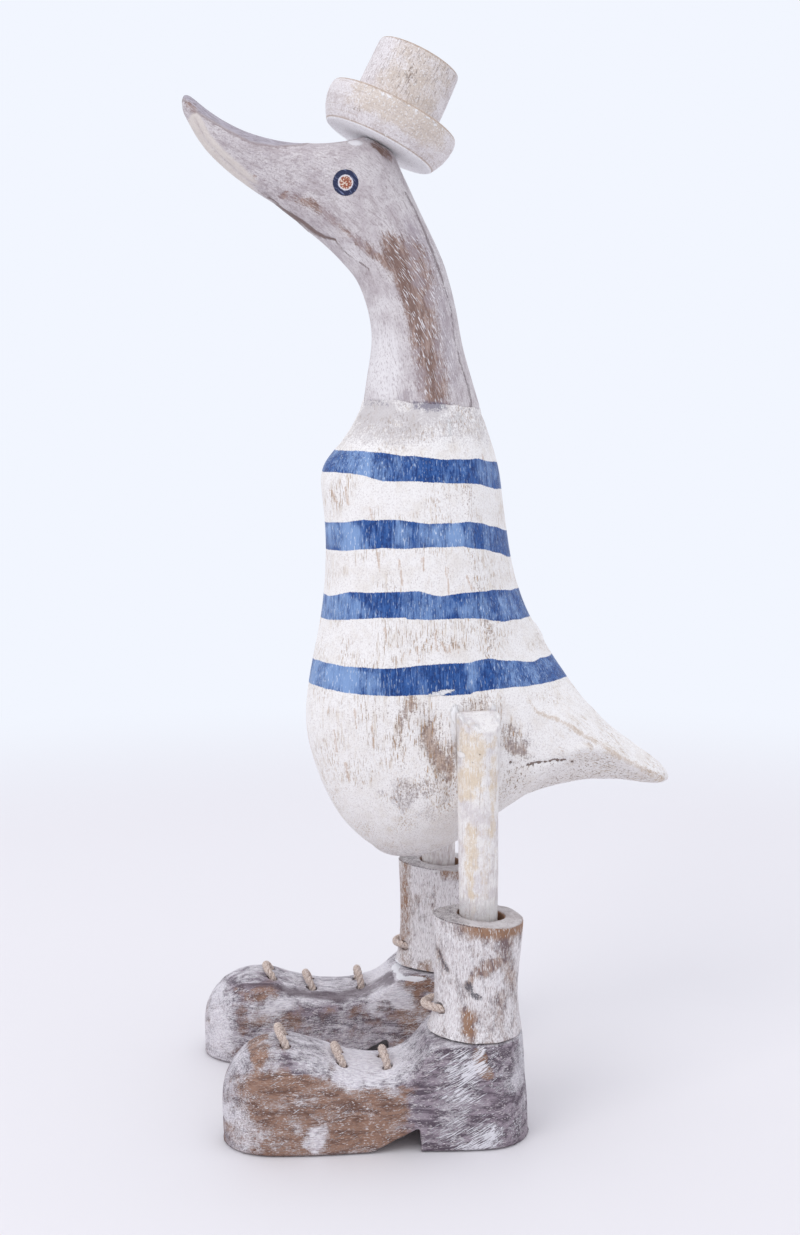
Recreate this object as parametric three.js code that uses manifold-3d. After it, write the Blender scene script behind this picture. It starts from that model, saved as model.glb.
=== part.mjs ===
// A carved wooden duck in boots and a turned hat, in millimetres.
// It looks along -Y, +Z is up and its left side is at +X. The boots stand on z = 0.
// The origin lies on the ground, half-way between the tip of the bill and the tip of the tail.

import * as THREE from 'three';
import { mergeVertices } from 'three/addons/utils/BufferGeometryUtils.js';
import Module from 'manifold-3d';

const wasm = await Module();
wasm.setup();

// Driving dimensions
const halfLength = 92.65; // from the origin to either tip
const gap = 0.3; // glue line, and play round whatever is let in

const hatTilt = 25.6; // degrees, backwards
const hatLean = 3; // degrees, to the duck's left
const hatSeat = { y: -21.6, z: 360.1 }; // middle of the brim's underside

const legTopHeight = 155.5;
const legFootHeight = 57;
const legTopRadius = 8.1;
const legFootRadius = 6.8;
const legTopAcross = 37.2;
const legFootAcross = 40.6;

const bootTurn = -5; // degrees about +Z, both toes to the duck's right
const seamHeight = 38; // where the shaft of a boot is glued on its foot
const shaftHeight = 83.3; // at its front edge
const legHoleRadius = 8.7;
const archHeight = 9.2;
const archFront = -40;
const heelFront = -22.5;

const twineRadius = 1.65;
const twineHole = twineRadius + 0.35;
const laceHalfWidth = 5.5;
const laceDepth = 3.4;
const laceSteps = 10;

// The two boots differ a little, as hand-carved ones do. Laces on the instep give their place
// along the boot and how high the loop stands over the wood, the shaft's one its height and that.
const sides = [
  {
    name: 'left',
    side: 1,
    legY: 9.6,
    boot: [42, 9.4],
    legHole: [-1.3, 0.8],
    toeReach: 93.5,
    seamRise: 1.6,
    toeRise: 1,
    laces: [[-71, 5], [-50.6, 4.4], [-34.2, 4.6]],
    shaftLace: [49.5, 7.6],
    shaftCut: 0,
  },
  {
    name: 'right',
    side: -1,
    legY: 8.2,
    boot: [-38.5, 8.4],
    legHole: [-1, 0.5],
    toeReach: 98.2,
    seamRise: -1.2,
    toeRise: -2.2,
    laces: [[-70.3, 3.4], [-54, 4.4], [-33.6, 6.4]],
    shaftLace: [45.5, 5.8],
    shaftCut: 2.2,
  },
];

// Finishes
const finish = (color, roughness) => new THREE.MeshStandardMaterial({ color, roughness, metalness: 0 });
const whitewash = finish(0xe0dad2, 0.75);
const greyWash = finish(0xc3bcbb, 0.78);
const hatWash = finish(0xd9d3cc, 0.78);
const legWash = finish(0xd8cdbb, 0.78);
const footWood = finish(0x8a7368, 0.7);
const shaftWood = finish(0xb9aaa0, 0.72);
const twine = finish(0xc4b096, 0.95);

const radians = THREE.MathUtils.degToRad;

// Curves and skins

// A smooth curve through rows of numbers, with each span cut into equal steps.
function smoothRows(rows, steps, closed = false) {
  const count = rows.length;
  const spans = closed ? count : count - 1;
  const row = (i) => (closed ? rows[(i + count) % count] : rows[Math.min(Math.max(i, 0), count - 1)]);
  const result = [];
  for (let span = 0; span < spans; span += 1) {
    const [a, b, c, d] = [row(span - 1), row(span), row(span + 1), row(span + 2)];
    for (let step = 0; step < steps; step += 1) {
      const t = step / steps;
      result.push(b.map((value, k) => 0.5 * (2 * value + (c[k] - a[k]) * t
        + (2 * a[k] - 5 * value + 4 * c[k] - d[k]) * t * t
        + (3 * value - a[k] - 3 * c[k] + d[k]) * t * t * t)));
    }
  }
  if (!closed) result.push(rows[count - 1]);
  return result;
}

// Turns the faces outwards where they all point in.
function facingOut(geometry) {
  const position = geometry.getAttribute('position');
  const index = geometry.getIndex().array;
  const [a, b, c] = [new THREE.Vector3(), new THREE.Vector3(), new THREE.Vector3()];
  let volume = 0;
  for (let i = 0; i < index.length; i += 3) {
    a.fromBufferAttribute(position, index[i]);
    b.fromBufferAttribute(position, index[i + 1]);
    c.fromBufferAttribute(position, index[i + 2]);
    volume += a.dot(b.cross(c));
  }
  if (volume < 0) {
    for (let i = 0; i < index.length; i += 3) {
      [index[i + 1], index[i + 2]] = [index[i + 2], index[i + 1]];
    }
  }
  return geometry;
}

// A closed skin over rings that all have the same number of points.
function skin(rings) {
  const around = rings[0].length;
  const points = rings.flat();
  const faces = [];
  for (let r = 0; r + 1 < rings.length; r += 1) {
    for (let i = 0; i < around; i += 1) {
      const a = r * around + i;
      const b = r * around + (i + 1) % around;
      faces.push(a, b, a + around, b, b + around, a + around);
    }
  }
  [0, rings.length - 1].forEach((r) => {
    const middle = new THREE.Vector3();
    rings[r].forEach((point) => middle.addScaledVector(point, 1 / around));
    points.push(middle);
    for (let i = 0; i < around; i += 1) {
      const a = r * around + i;
      const b = r * around + (i + 1) % around;
      faces.push(...(r === 0 ? [b, a, points.length - 1] : [a, b, points.length - 1]));
    }
  });
  const geometry = new THREE.BufferGeometry().setFromPoints(points);
  geometry.setIndex(faces);
  return facingOut(geometry);
}

// Only positions, with shared corners merged.
function bare(geometry) {
  geometry.deleteAttribute('normal');
  geometry.deleteAttribute('uv');
  return facingOut(mergeVertices(geometry, 1e-4));
}

// A round bar along a path.
function tube(path, radius, steps, around = 8) {
  const section = new THREE.Shape(Array.from({ length: around }, (_, i) => {
    const turn = 2 * Math.PI * i / around;
    return new THREE.Vector2(radius * Math.cos(turn), radius * Math.sin(turn));
  }));
  return bare(new THREE.ExtrudeGeometry(section, { steps, bevelEnabled: false, extrudePath: path }));
}

function toSolid(geometry) {
  return new wasm.Manifold(new wasm.Mesh({
    numProp: 3,
    vertProperties: new Float32Array(geometry.getAttribute('position').array),
    triVerts: new Uint32Array(geometry.getIndex().array),
  }));
}

function cut(geometry, tools) {
  const left = tools.reduce((rest, tool) => rest.subtract(toSolid(tool)), toSolid(geometry));
  const mesh = left.getMesh();
  const result = new THREE.BufferGeometry();
  result.setAttribute('position', new THREE.BufferAttribute(new Float32Array(mesh.vertProperties), 3));
  result.setIndex(Array.from(mesh.triVerts));
  return result;
}

function piece(name, geometry, material) {
  const shown = geometry.toNonIndexed();
  shown.computeVertexNormals();
  const mesh = new THREE.Mesh(shown, material);
  mesh.name = name;
  return mesh;
}

// Body and head
// Each row is one slanting slice: the y and z of its back point and of its front point, then how far
// along from back to front the carved ridge of the flank lies and its half-width there, the same for
// the widest place, and how full the slice is between the spine and the ridge and towards the front.
const bodySlices = [
  [17.2, 264, -28.0, 267.4, 0.17, 14.8, 0.5, 19.8, 0.62, 0.7],
  [20.8, 254.5, -34.6, 254.6, 0.2, 18.6, 0.5, 23, 0.6, 0.7],
  [24.2, 244.3, -43.2, 245.2, 0.24, 22.2, 0.5, 26, 0.58, 0.7],
  [25.8, 236, -44.6, 236, 0.27, 24.4, 0.51, 27.6, 0.56, 0.7],
  [27.6, 221, -42.7, 219, 0.28, 26.8, 0.52, 29.8, 0.54, 0.7],
  [31.2, 203, -43.7, 193, 0.28, 28.6, 0.52, 31.8, 0.53, 0.7],
  [36, 190, -47.7, 172, 0.26, 29.4, 0.52, 33.2, 0.52, 0.7],
  [41, 181, -51, 150, 0.25, 29.8, 0.52, 34.6, 0.52, 0.7],
  [45.5, 173, -48.1, 131.5, 0.22, 29.6, 0.52, 35, 0.53, 0.7],
  [50, 166.5, -39.8, 111.6, 0.2, 28.8, 0.52, 34.6, 0.54, 0.7],
  [54, 160.5, -26, 97, 0.17, 27.4, 0.5, 33, 0.56, 0.64],
  [58, 155, -10, 92, 0.15, 25.6, 0.44, 30, 0.58, 0.5],
  [62, 150.6, 7, 97, 0.15, 23.8, 0.34, 26, 0.6, 0.34],
  [66, 146, 20, 108, 0.16, 22.2, 0.3, 23.4, 0.6, 0.34],
  [70, 142.2, 30, 114.3, 0.17, 20.6, 0.28, 21.4, 0.6, 0.4],
  [75, 138, 43.4, 119, 0.2, 18.4, 0.3, 19, 0.6, 0.44],
  [81.5, 133, 60, 121.6, 0.3, 14.8, 0.36, 15.2, 0.6, 0.48],
  [87, 128.6, 74, 121, 0.35, 11, 0.42, 11.2, 0.6, 0.55],
  [90.8, 125, 85, 119.9, 0.4, 6.8, 0.5, 7, 0.6, 0.65],
  [halfLength - 0.05, 122, 91, 120.3, 0.4, 2.8, 0.5, 3, 0.6, 0.7],
];

const headSlices = [
  [17.2, 264, -28.0, 267.4, 0.17, 14.8, 0.5, 19.8, 0.62, 0.7],
  [10.8, 284.7, -24.7, 286, 0.17, 13.4, 0.5, 17.7, 0.62, 0.7],
  [8.2, 297.9, -25.2, 297.5, 0.17, 12.8, 0.5, 16.8, 0.62, 0.7],
  [3.6, 315.5, -28.6, 308.4, 0.18, 12.9, 0.5, 16.6, 0.62, 0.7],
  [-0.1, 324.2, -32.6, 314.9, 0.19, 13.4, 0.5, 17, 0.62, 0.7],
  [-8.2, 341.4, -41.5, 323.6, 0.2, 14.3, 0.5, 17.8, 0.62, 0.7],
  [-12.4, 349.9, -47.4, 327.8, 0.21, 14.8, 0.49, 18.2, 0.62, 0.7],
  [-17.3, 359.3, -53.8, 332.9, 0.22, 14.9, 0.47, 17.9, 0.62, 0.7],
  [-24.6, 363.4, -59.8, 337.2, 0.23, 14, 0.46, 16.6, 0.6, 0.69],
  [-32.1, 361.5, -64.2, 340.3, 0.24, 12.6, 0.46, 14.9, 0.58, 0.68],
  [-50.4, 360.1, -73.1, 346.5, 0.28, 9.8, 0.5, 11.4, 0.53, 0.68],
  [-68.5, 363.1, -82.0, 354.2, 0.3, 8, 0.52, 9.1, 0.53, 0.68],
  [-80.7, 369.1, -87.4, 360.9, 0.3, 6.2, 0.5, 6.9, 0.58, 0.7],
  [-86.4, 373.1, -89.8, 365, 0.3, 4.8, 0.5, 5.4, 0.6, 0.7],
  [-90.4, 376, -92.1, 369.1, 0.3, 3.2, 0.5, 3.6, 0.6, 0.7],
  [-92.2, 375.7, -halfLength, 371.3, 0.3, 1.8, 0.5, 2, 0.6, 0.7],
];

// Where the lower edge of a slice turns in, from its widest place to its front point
const lowPlace = 0.72;

// One slice as a ring of points, from the spine down the left side and up the right.
function sliceRing(slice) {
  const [backY, backZ, frontY, frontZ, ridgeAt, ridgeHalf, widestAt, widestHalf, roof, keel] = slice;
  const half = [
    [ridgeAt * 0.36, ridgeHalf * roof],
    [ridgeAt, ridgeHalf],
    [widestAt, widestHalf],
    [widestAt + (1 - widestAt) * lowPlace, widestHalf * keel],
  ];
  const mirrored = half.map(([along, across]) => [along, -across]).reverse();
  return smoothRows([[0, 0], ...half, [1, 0], ...mirrored], 2, true).map(([along, across]) => (
    new THREE.Vector3(
      across,
      backY + (frontY - backY) * along,
      backZ + (frontZ - backZ) * along,
    )));
}

const carved = (slices) => smoothRows(slices, 2).map(sliceRing);

// Hat: brim and crown in one, turned about its own axis
const hatProfile = [
  [0, 0], [20.8, 0], [21.5, 0.6], [22.7, 2.4], [23.9, 5], [24.8, 8], [25.1, 10.8], [24.8, 13],
  [24.2, 14], [16.2, 14.3], [16.2, 20], [16, 29], [15.8, 33.8], [15.3, 34.6], [0, 35],
];

function hatGeometry(lift) {
  const profile = hatProfile.map(([radius, height]) => new THREE.Vector2(radius, height));
  const geometry = new THREE.LatheGeometry(profile, 32).rotateX(radians(90));
  geometry.rotateY(radians(hatLean)).translate(0, 0, lift).rotateX(radians(-hatTilt));
  return bare(geometry.translate(0, hatSeat.y, hatSeat.z));
}

// Legs
// A tapering round stick. Its top is cut flat, then pared off to the outside and the front.
function legGeometry({ side, legY }, grow) {
  const levels = 5;
  const around = 14;
  const rings = [];
  for (let level = 0; level <= levels; level += 1) {
    const t = level / levels;
    const across = side * THREE.MathUtils.lerp(legFootAcross, legTopAcross, t);
    const radius = THREE.MathUtils.lerp(legFootRadius, legTopRadius, t) + grow;
    const height = THREE.MathUtils.lerp(legFootHeight - grow, legTopHeight + grow, t);
    rings.push(Array.from({ length: around }, (_, i) => {
      const turn = 2 * Math.PI * (i + 0.5) / around;
      return new THREE.Vector3(across + radius * Math.cos(turn), legY + radius * Math.sin(turn), height);
    }));
  }
  const paring = new THREE.BoxGeometry(60, 60, 20).translate(0, 0, 10 + grow);
  paring.rotateY(radians(50)).rotateZ(radians(side > 0 ? 30 : 150));
  paring.translate(side * (legTopAcross + 3.6), legY + 2, legTopHeight);
  return cut(skin(rings), [bare(paring)]);
}

// Boots, drawn with the toe along -Y and the middle of the shaft over the origin
// Each shaft row: height at the front and at the back, y of the front and of the back, half-width,
// and how much narrower the front is than the back.
const shaftRows = [
  [seamHeight + gap, seamHeight + gap, -19.2, 16.4, 17.2, 0.08],
  [41, 41, -18.2, 16, 16.2, 0.12],
  [46, 45, -17.2, 15.2, 15, 0.16],
  [54, 53, -16.5, 14.5, 14, 0.2],
  [63, 62, -16.6, 14.8, 13.8, 0.2],
  [74, 72, -17.0, 15.7, 14.2, 0.22],
  [shaftHeight, shaftHeight - 2.5, -17.3, 16.4, 14.7, 0.24],
];

// A point of the shaft's egg-shaped outline: turn 0 is the back and 180 degrees the front.
function shaftPoint([frontZ, backZ, frontY, backY, halfWidth, narrowing], turn) {
  const front = (1 - Math.cos(turn)) / 2;
  return new THREE.Vector3(
    halfWidth * Math.sin(turn) * (1 + narrowing * Math.cos(turn)),
    backY + (frontY - backY) * front,
    backZ + (frontZ - backZ) * front,
  );
}

function shaftGeometry({ legHole, shaftCut, seamRise }) {
  const around = 22;
  const turns = Array.from({ length: around }, (_, i) => 2 * Math.PI * i / around);
  const fitted = ([front, back, ...rest]) => {
    const share = (front - seamHeight) / (shaftHeight - seamHeight);
    const rise = seamRise * (1 - share) - shaftCut * share;
    return [front + rise, back + rise, ...rest];
  };
  const shaft = skin(shaftRows.map((row) => turns.map((turn) => shaftPoint(fitted(row), turn))));
  const depth = 60;
  const hole = new THREE.CylinderGeometry(legHoleRadius, legHoleRadius, depth, 18).rotateX(radians(90));
  hole.translate(...legHole, legFootHeight - gap + depth / 2);
  return [shaft, bare(hole)];
}

// Foot rows in front of the heel: y, height of the top, half-width, rounding of the top edge,
// and how far the top falls from its middle to that edge.
const footRows = [
  [-10, seamHeight, 17.4, 0.6, 0],
  [-15.5, seamHeight, 17.2, 1.2, 0.3],
  [-19.2, 37, 17, 2.4, 1.2],
  [-22.5, 33.4, 17, 3, 1.9],
  [-27.5, 30, 17, 3.5, 2.3],
  [-36, 27.6, 17.2, 4, 2.6],
  [-48, 28.5, 17.7, 4.5, 2.8],
  [-59, 32.4, 18.3, 5, 3],
  [-68, 35.6, 18.4, 6, 3.3],
  [-75, 36.6, 18.2, 7, 3.5],
  [-82.5, 34.6, 16.7, 7, 3.3],
  [-87.5, 31, 13.7, 6, 2.9],
  [-90.9, 26.6, 9.8, 4.6, 2.2],
  [-92.8, 22, 5.9, 3, 1.2],
  [-93.5, 18, 2.6, 1.4, 0.4],
];
const instep = -22.5; // where the toe part begins
const footLength = -footRows.at(-1)[0];
const soleEdge = 1.2;
const heelFlare = 0.16;

// Half of a foot's cross-section from the middle of the sole to the middle of the top.
function footRing(y, top, halfWidth, edge, dome) {
  const inner = Math.max(halfWidth - edge, halfWidth * 0.3);
  const fall = (across) => top - dome * (across / halfWidth) ** 2;
  const half = [
    [halfWidth * 0.5, 0],
    [Math.max(halfWidth - soleEdge, halfWidth * 0.6), 0],
    [halfWidth, soleEdge],
    [halfWidth, top * 0.42],
    [halfWidth, fall(halfWidth) - edge],
    [halfWidth - 0.3 * (halfWidth - inner), fall(halfWidth) - edge * 0.3],
    [inner, fall(inner)],
    [inner * 0.5, fall(inner * 0.5)],
  ];
  const mirrored = half.map(([x, z]) => [-x, z]).reverse();
  return [[0, 0], ...half, [0, top], ...mirrored].map(([x, z]) => {
    const flare = y > 0 ? 1 + heelFlare * (1 - z / seamHeight) : 1;
    return new THREE.Vector3(x, y * flare, z);
  });
}

function footOutlines({ toeReach, seamRise, toeRise }) {
  const stretch = (toeReach + instep) / (footLength + instep);
  const heelTurns = [5, 14, 26, 40, 56, 74, 92];
  const heel = heelTurns.map((degrees) => {
    const point = shaftPoint(shaftRows[0], radians(degrees));
    return [point.y, seamHeight + seamRise, point.x + 0.2, 0.6, 0];
  });
  const front = footRows.map(([y, top, ...rest]) => {
    if (y > instep) return [y, top + seamRise, ...rest];
    const share = THREE.MathUtils.smoothstep(-y, 40, 60);
    return [instep + (y - instep) * stretch, top + toeRise * share, ...rest];
  });
  return [...heel, ...front];
}

// The notch between the sole and the heel: it slopes up from the sole and drops at the heel.
function archGeometry() {
  const notch = new THREE.Shape([
    new THREE.Vector2(archFront - 3, -1.6),
    new THREE.Vector2(heelFront, archHeight),
    new THREE.Vector2(heelFront + 0.6, -1.6),
  ]);
  const geometry = new THREE.ExtrudeGeometry(notch, { depth: 60, bevelEnabled: false });
  return bare(geometry.translate(0, 0, -30).rotateZ(radians(90)).rotateY(radians(90)));
}

// Laces: short loops of twine whose two ends go down into drilled holes
// A loop in its own plane: across, and out of the wood, from the surface that it enters.
function loopPath(rise, depth, place) {
  const points = [
    [-laceHalfWidth, -depth],
    [-laceHalfWidth, -0.4],
    [-laceHalfWidth * 0.8, rise * 0.72],
    [0, rise],
    [laceHalfWidth * 0.8, rise * 0.72],
    [laceHalfWidth, -0.4],
    [laceHalfWidth, -depth],
  ];
  return new THREE.CatmullRomCurve3(points.map(([across, out]) => place(across, out)), false, 'centripetal');
}

function lacePlaces(data) {
  const outlines = footOutlines(data);
  const topAt = (y) => {
    const i = outlines.findIndex((row) => row[0] < y);
    const [a, b] = [outlines[i - 1], outlines[i]];
    return a[1] + (b[1] - a[1]) * (y - a[0]) / (b[0] - a[0]);
  };
  const instep = data.laces.map(([y, rise]) => {
    const height = topAt(y) - 0.4;
    return { rise, place: (across, out) => new THREE.Vector3(across, y + 0.12 * across, height + out) };
  });
  const front = -13.6;
  const [height, rise] = data.shaftLace;
  const shaft = {
    rise,
    place: (across, out) => new THREE.Vector3(across, front - out, height - 0.1 * across),
  };
  return [...instep, shaft];
}

// The duck
const duck = new THREE.Group();

const legs = sides.map((data) => legGeometry(data, 0));
const legGrooves = sides.map((data) => legGeometry(data, gap + 0.05));
duck.add(piece('body', cut(skin(carved(bodySlices)), legGrooves), whitewash));

const head = skin(carved(headSlices)).translate(0, 0, gap);
duck.add(piece('head', cut(head, [hatGeometry(-gap)]), greyWash));
duck.add(piece('hat', hatGeometry(0), hatWash));

sides.forEach((data, i) => {
  duck.add(piece(`leg_${data.name}`, legs[i], legWash));

  const places = lacePlaces(data);
  const [shaft, legHole] = shaftGeometry(data);
  const foot = skin(footOutlines(data).map((row) => footRing(...row)));
  const holes = places.map(({ rise, place }) => tube(loopPath(rise, laceDepth + gap, place), twineHole, laceSteps));
  const boot = new THREE.Group();
  boot.position.set(data.boot[0], data.boot[1], 0);
  boot.rotation.z = radians(bootTurn);
  boot.add(piece(`boot_${data.name}_foot`, cut(foot, [archGeometry(), ...holes.slice(0, 3)]), footWood));
  boot.add(piece(`boot_${data.name}_shaft`, cut(shaft, [legHole, holes[3]]), shaftWood));
  places.forEach(({ rise, place }, n) => {
    boot.add(piece(`lace_${data.name}_${n + 1}`, tube(loopPath(rise, laceDepth, place), twineRadius, laceSteps), twine));
  });
  duck.add(boot);
});

export default duck;
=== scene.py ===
# %% [markdown]
# # A carved wooden duck in boots
# The real duck is carved from pale root wood with a knife, sanded, lime-washed and rubbed back, then
# painted with four blue bands. It stands on two round sticks plugged into chunky stained boots, and
# wears a hat turned on a lathe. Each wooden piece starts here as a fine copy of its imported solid, gets
# the knife's and the wood's relief by moving its points, and carries a few values at its points that its
# finish reads. The hat and the twine follow rules, so Geometry Nodes make them.

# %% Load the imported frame
import math

import bmesh
import bpy
import numpy as np
from mathutils import Matrix, Vector


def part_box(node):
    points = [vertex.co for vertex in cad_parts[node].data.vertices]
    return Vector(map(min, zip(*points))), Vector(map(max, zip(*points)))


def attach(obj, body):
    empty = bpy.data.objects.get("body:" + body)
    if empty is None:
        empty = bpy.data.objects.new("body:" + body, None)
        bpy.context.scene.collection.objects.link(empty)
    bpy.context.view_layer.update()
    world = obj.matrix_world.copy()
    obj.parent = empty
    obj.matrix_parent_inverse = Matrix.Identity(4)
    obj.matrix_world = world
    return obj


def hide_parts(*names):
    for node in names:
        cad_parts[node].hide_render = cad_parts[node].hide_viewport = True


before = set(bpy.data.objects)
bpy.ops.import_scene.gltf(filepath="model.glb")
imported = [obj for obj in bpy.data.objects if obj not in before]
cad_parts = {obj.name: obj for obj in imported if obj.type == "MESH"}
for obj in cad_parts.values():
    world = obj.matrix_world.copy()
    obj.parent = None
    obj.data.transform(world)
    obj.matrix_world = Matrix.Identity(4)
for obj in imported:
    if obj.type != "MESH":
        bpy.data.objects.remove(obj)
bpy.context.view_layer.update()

# %% [markdown]
# ## Where the camera stands
# The photograph looks at the duck's left side from half a metre away, a little from the front and a
# little downwards. Working from the boots, the hat and the seams gave the camera's place and a focal
# length of 1480 pixels on a 1235 pixel high frame. Blender's lens is given for a sensor 36 mm long.

# %% Camera
camera = bpy.data.objects.new("camera", bpy.data.cameras.new("camera"))
bpy.context.collection.objects.link(camera)
bpy.context.scene.camera = camera
camera.location = (0.55455, -0.09159, 0.250)
turn, dip = math.radians(8), math.radians(6.5)
gaze = Vector((-math.cos(turn) * math.cos(dip), math.sin(turn) * math.cos(dip), -math.sin(dip)))
camera.rotation_euler = gaze.to_track_quat("-Z", "Y").to_euler()
focal_pixels, frame_pixels, sensor = 1480, 1235, 36
camera.data.sensor_width = sensor
camera.data.lens = focal_pixels / frame_pixels * sensor
print("lens", round(camera.data.lens, 2), "mm")

# %% [markdown]
# ## Wiring nodes with plain sums
# A finish is a network of nodes. Drawing one by hand is slow to read, so a small class stands for a
# socket: adding or multiplying two of them adds the Math node. Any other node comes from one method
# that takes its settings first and then what goes into its sockets. The same bench builds the trees of
# Geometry Nodes further down.

# %% A bench for node trees
class Wire:
    """A socket of a node tree. Sums on it add Math nodes."""

    def __init__(self, bench, socket):
        self.bench = bench
        self.socket = socket

    def __add__(self, other):
        return self.bench.math("ADD", self, other)

    __radd__ = __add__

    def __sub__(self, other):
        return self.bench.math("SUBTRACT", self, other)

    def __rsub__(self, other):
        return self.bench.math("SUBTRACT", other, self)

    def __mul__(self, other):
        return self.bench.math("MULTIPLY", self, other)

    __rmul__ = __mul__

    def __truediv__(self, other):
        return self.bench.math("DIVIDE", self, other)

    def __rtruediv__(self, other):
        return self.bench.math("DIVIDE", other, self)

    def sibling(self, name):
        """Another output of the same node."""
        return Wire(self.bench, self.socket.node.outputs[name])


class Bench:
    def __init__(self, tree):
        self.tree = tree

    def node(self, kind, settings=None, sockets=None, out=0):
        """Adds a node: its settings first, then the values or wires of its sockets."""
        node = self.tree.nodes.new(kind)
        for name, value in (settings or {}).items():
            setattr(node, name, value)
        for key, value in (sockets or {}).items():
            if isinstance(value, Wire):
                self.tree.links.new(value.socket, node.inputs[key])
            else:
                node.inputs[key].default_value = value
        return Wire(self, node.outputs[out])

    def math(self, operation, *values):
        return self.node("ShaderNodeMath", {"operation": operation}, dict(enumerate(values)))

    def vector(self, operation, *values, out=0):
        return self.node("ShaderNodeVectorMath", {"operation": operation}, dict(enumerate(values)), out)

    def texture(self, place, scale, detail=2.0, rough=0.5, twist=0.0):
        """Noise read at a place that comes by wire."""
        return self.node("ShaderNodeTexNoise", None, {
            "Vector": place, "Scale": scale, "Detail": detail, "Roughness": rough, "Distortion": twist})


# %% [markdown]
# ## Finishes
# Each finish is one Principled shader. Colours are written as the bytes a picture would show. Patterns
# are measured in millimetres on the object, so a grain line stays as wide as a real one. Two helpers do
# most of the work: a noise stretched along the grain, and a soft threshold that turns it into patches.
# In the recipes further down, f stands for the finish that is being built. Each recipe says first where
# things show, and then lays its colours over one another like coats of paint.

# %% A finish and its helpers
def tone(red, green, blue):
    """A colour as a picture shows it, turned into the light that a shader counts in."""
    return tuple(((value / 255 + 0.055) / 1.055) ** 2.4 for value in (red, green, blue)) + (1.0,)


class Finish(Bench):
    def __init__(self, name):
        self.material = bpy.data.materials.new(name)
        self.material.use_nodes = True
        super().__init__(self.material.node_tree)
        self.tree.nodes.clear()
        metres = self.node("ShaderNodeTexCoord", out=3)
        self.place = self.vector("MULTIPLY", metres, (1000, 1000, 1000))
        self.grain = self.kept("grain", 1)

    def kept(self, name, out=2):
        """A value that the mesh carries at its points."""
        return self.node("ShaderNodeAttribute", {"attribute_name": name}, out=out)

    def noise(self, size, detail=2.0, rough=0.5, along=None, twist=0.0):
        """Noise with spots of that size in mm, or along times longer down the grain."""
        place = self.place if along is None else self.vector("MULTIPLY", self.grain, (1 / along, 1, 1))
        return self.texture(place, 1 / size, detail, rough, twist)

    def soft(self, value, low, high):
        """0 below low and 1 above high, with a smooth rise between them."""
        return self.node("ShaderNodeMapRange", {"interpolation_type": "SMOOTHSTEP"}, {
            "Value": value, "From Min": low, "From Max": high})

    def mix(self, under, over, share):
        """One colour over another. A colour comes by wire or as three bytes."""
        under, over = (side if isinstance(side, Wire) else tone(*side) for side in (under, over))
        return self.node("ShaderNodeMix", {"data_type": "RGBA"}, {0: share, 6: under, 7: over}, out=2)

    def layers(self, colour, *rows):
        """Lays colours over one another, from the bottom up, each with the share that shows of it."""
        for over, share in rows:
            colour = self.mix(colour, over, share)
        return colour

    def spots(self, size, low, along=None, width=0.06):
        """Small separate marks: 1 where a noise of that size rises over low."""
        return self.soft(self.noise(size, 1, 0.5, along=along), low, low + width)

    def bump(self, height, depth):
        """A relief of that depth in mm where height goes from 0 to 1."""
        return self.node("ShaderNodeBump", None, {"Height": height * (depth / 1000), "Distance": 1.0})

    def show(self, shader):
        """Ends the finish: the shader goes to the material's output."""
        end = self.tree.nodes.new("ShaderNodeOutputMaterial")
        self.tree.links.new(shader.socket, end.inputs["Surface"])
        print(self.material.name, len(self.tree.nodes), "nodes")
        return self.material

    def coat(self, colour, roughness, normal, specular):
        """The shader itself: what varies comes in by wire, the specular level is one number."""
        return self.show(self.node("ShaderNodeBsdfPrincipled", None, {
            "Base Color": colour, "Roughness": roughness, "Normal": normal, "Specular IOR Level": specular}))


# %% [markdown]
# ## Fine copies of the carved solids
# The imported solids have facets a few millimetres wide, which no sanded wood shows. A copy of each is
# welded, its triangles paired into quads, subdivided with its sharp edges creased, and then remeshed
# into even small quads. Even quads matter, because the relief below moves single points.

# %% Fine copy
weld_distance, sharp_angle = 2e-6, math.radians(38)


def fine_copy(node, voxel, name):
    """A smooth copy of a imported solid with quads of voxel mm, as an object of its own."""
    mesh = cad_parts[node].data.copy()
    mesh.materials.clear()
    shell = bmesh.new()
    shell.from_mesh(mesh)
    bmesh.ops.remove_doubles(shell, verts=shell.verts, dist=weld_distance)
    bmesh.ops.join_triangles(shell, faces=shell.faces, angle_face_threshold=0.5, angle_shape_threshold=0.9)
    crease = shell.edges.layers.float.new("crease_edge")
    for edge in shell.edges:
        if len(edge.link_faces) == 2 and edge.calc_face_angle() > sharp_angle:
            edge[crease] = 1.0
    shell.to_mesh(mesh)
    shell.free()
    rough = bpy.data.objects.new(name + "_rough", mesh)
    bpy.context.collection.objects.link(rough)
    divide = rough.modifiers.new("divide", "SUBSURF")
    divide.levels = divide.render_levels = 2
    remesh = rough.modifiers.new("remesh", "REMESH")
    remesh.mode, remesh.voxel_size = "VOXEL", voxel / 1000
    sand = rough.modifiers.new("sand", "SMOOTH")
    sand.factor, sand.iterations = 0.5, 3
    return settled(rough, name)


def settled(base, name):
    """The result of an object's modifiers as a plain mesh object that takes its place."""
    evaluated = base.evaluated_get(bpy.context.evaluated_depsgraph_get())
    piece = bpy.data.objects.new(name, bpy.data.meshes.new_from_object(evaluated))
    base.modifiers.clear()
    bpy.data.objects.remove(base)
    bpy.context.collection.objects.link(piece)
    piece.data.shade_smooth()
    print(name, len(piece.data.polygons), "faces")
    return piece


# %% Reading and moving points
def points_of(piece):
    """The piece's points, in millimetres."""
    flat = np.empty(len(piece.data.vertices) * 3, np.float32)
    piece.data.vertices.foreach_get("co", flat)
    return flat.reshape(-1, 3).astype(float) * 1000


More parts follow.
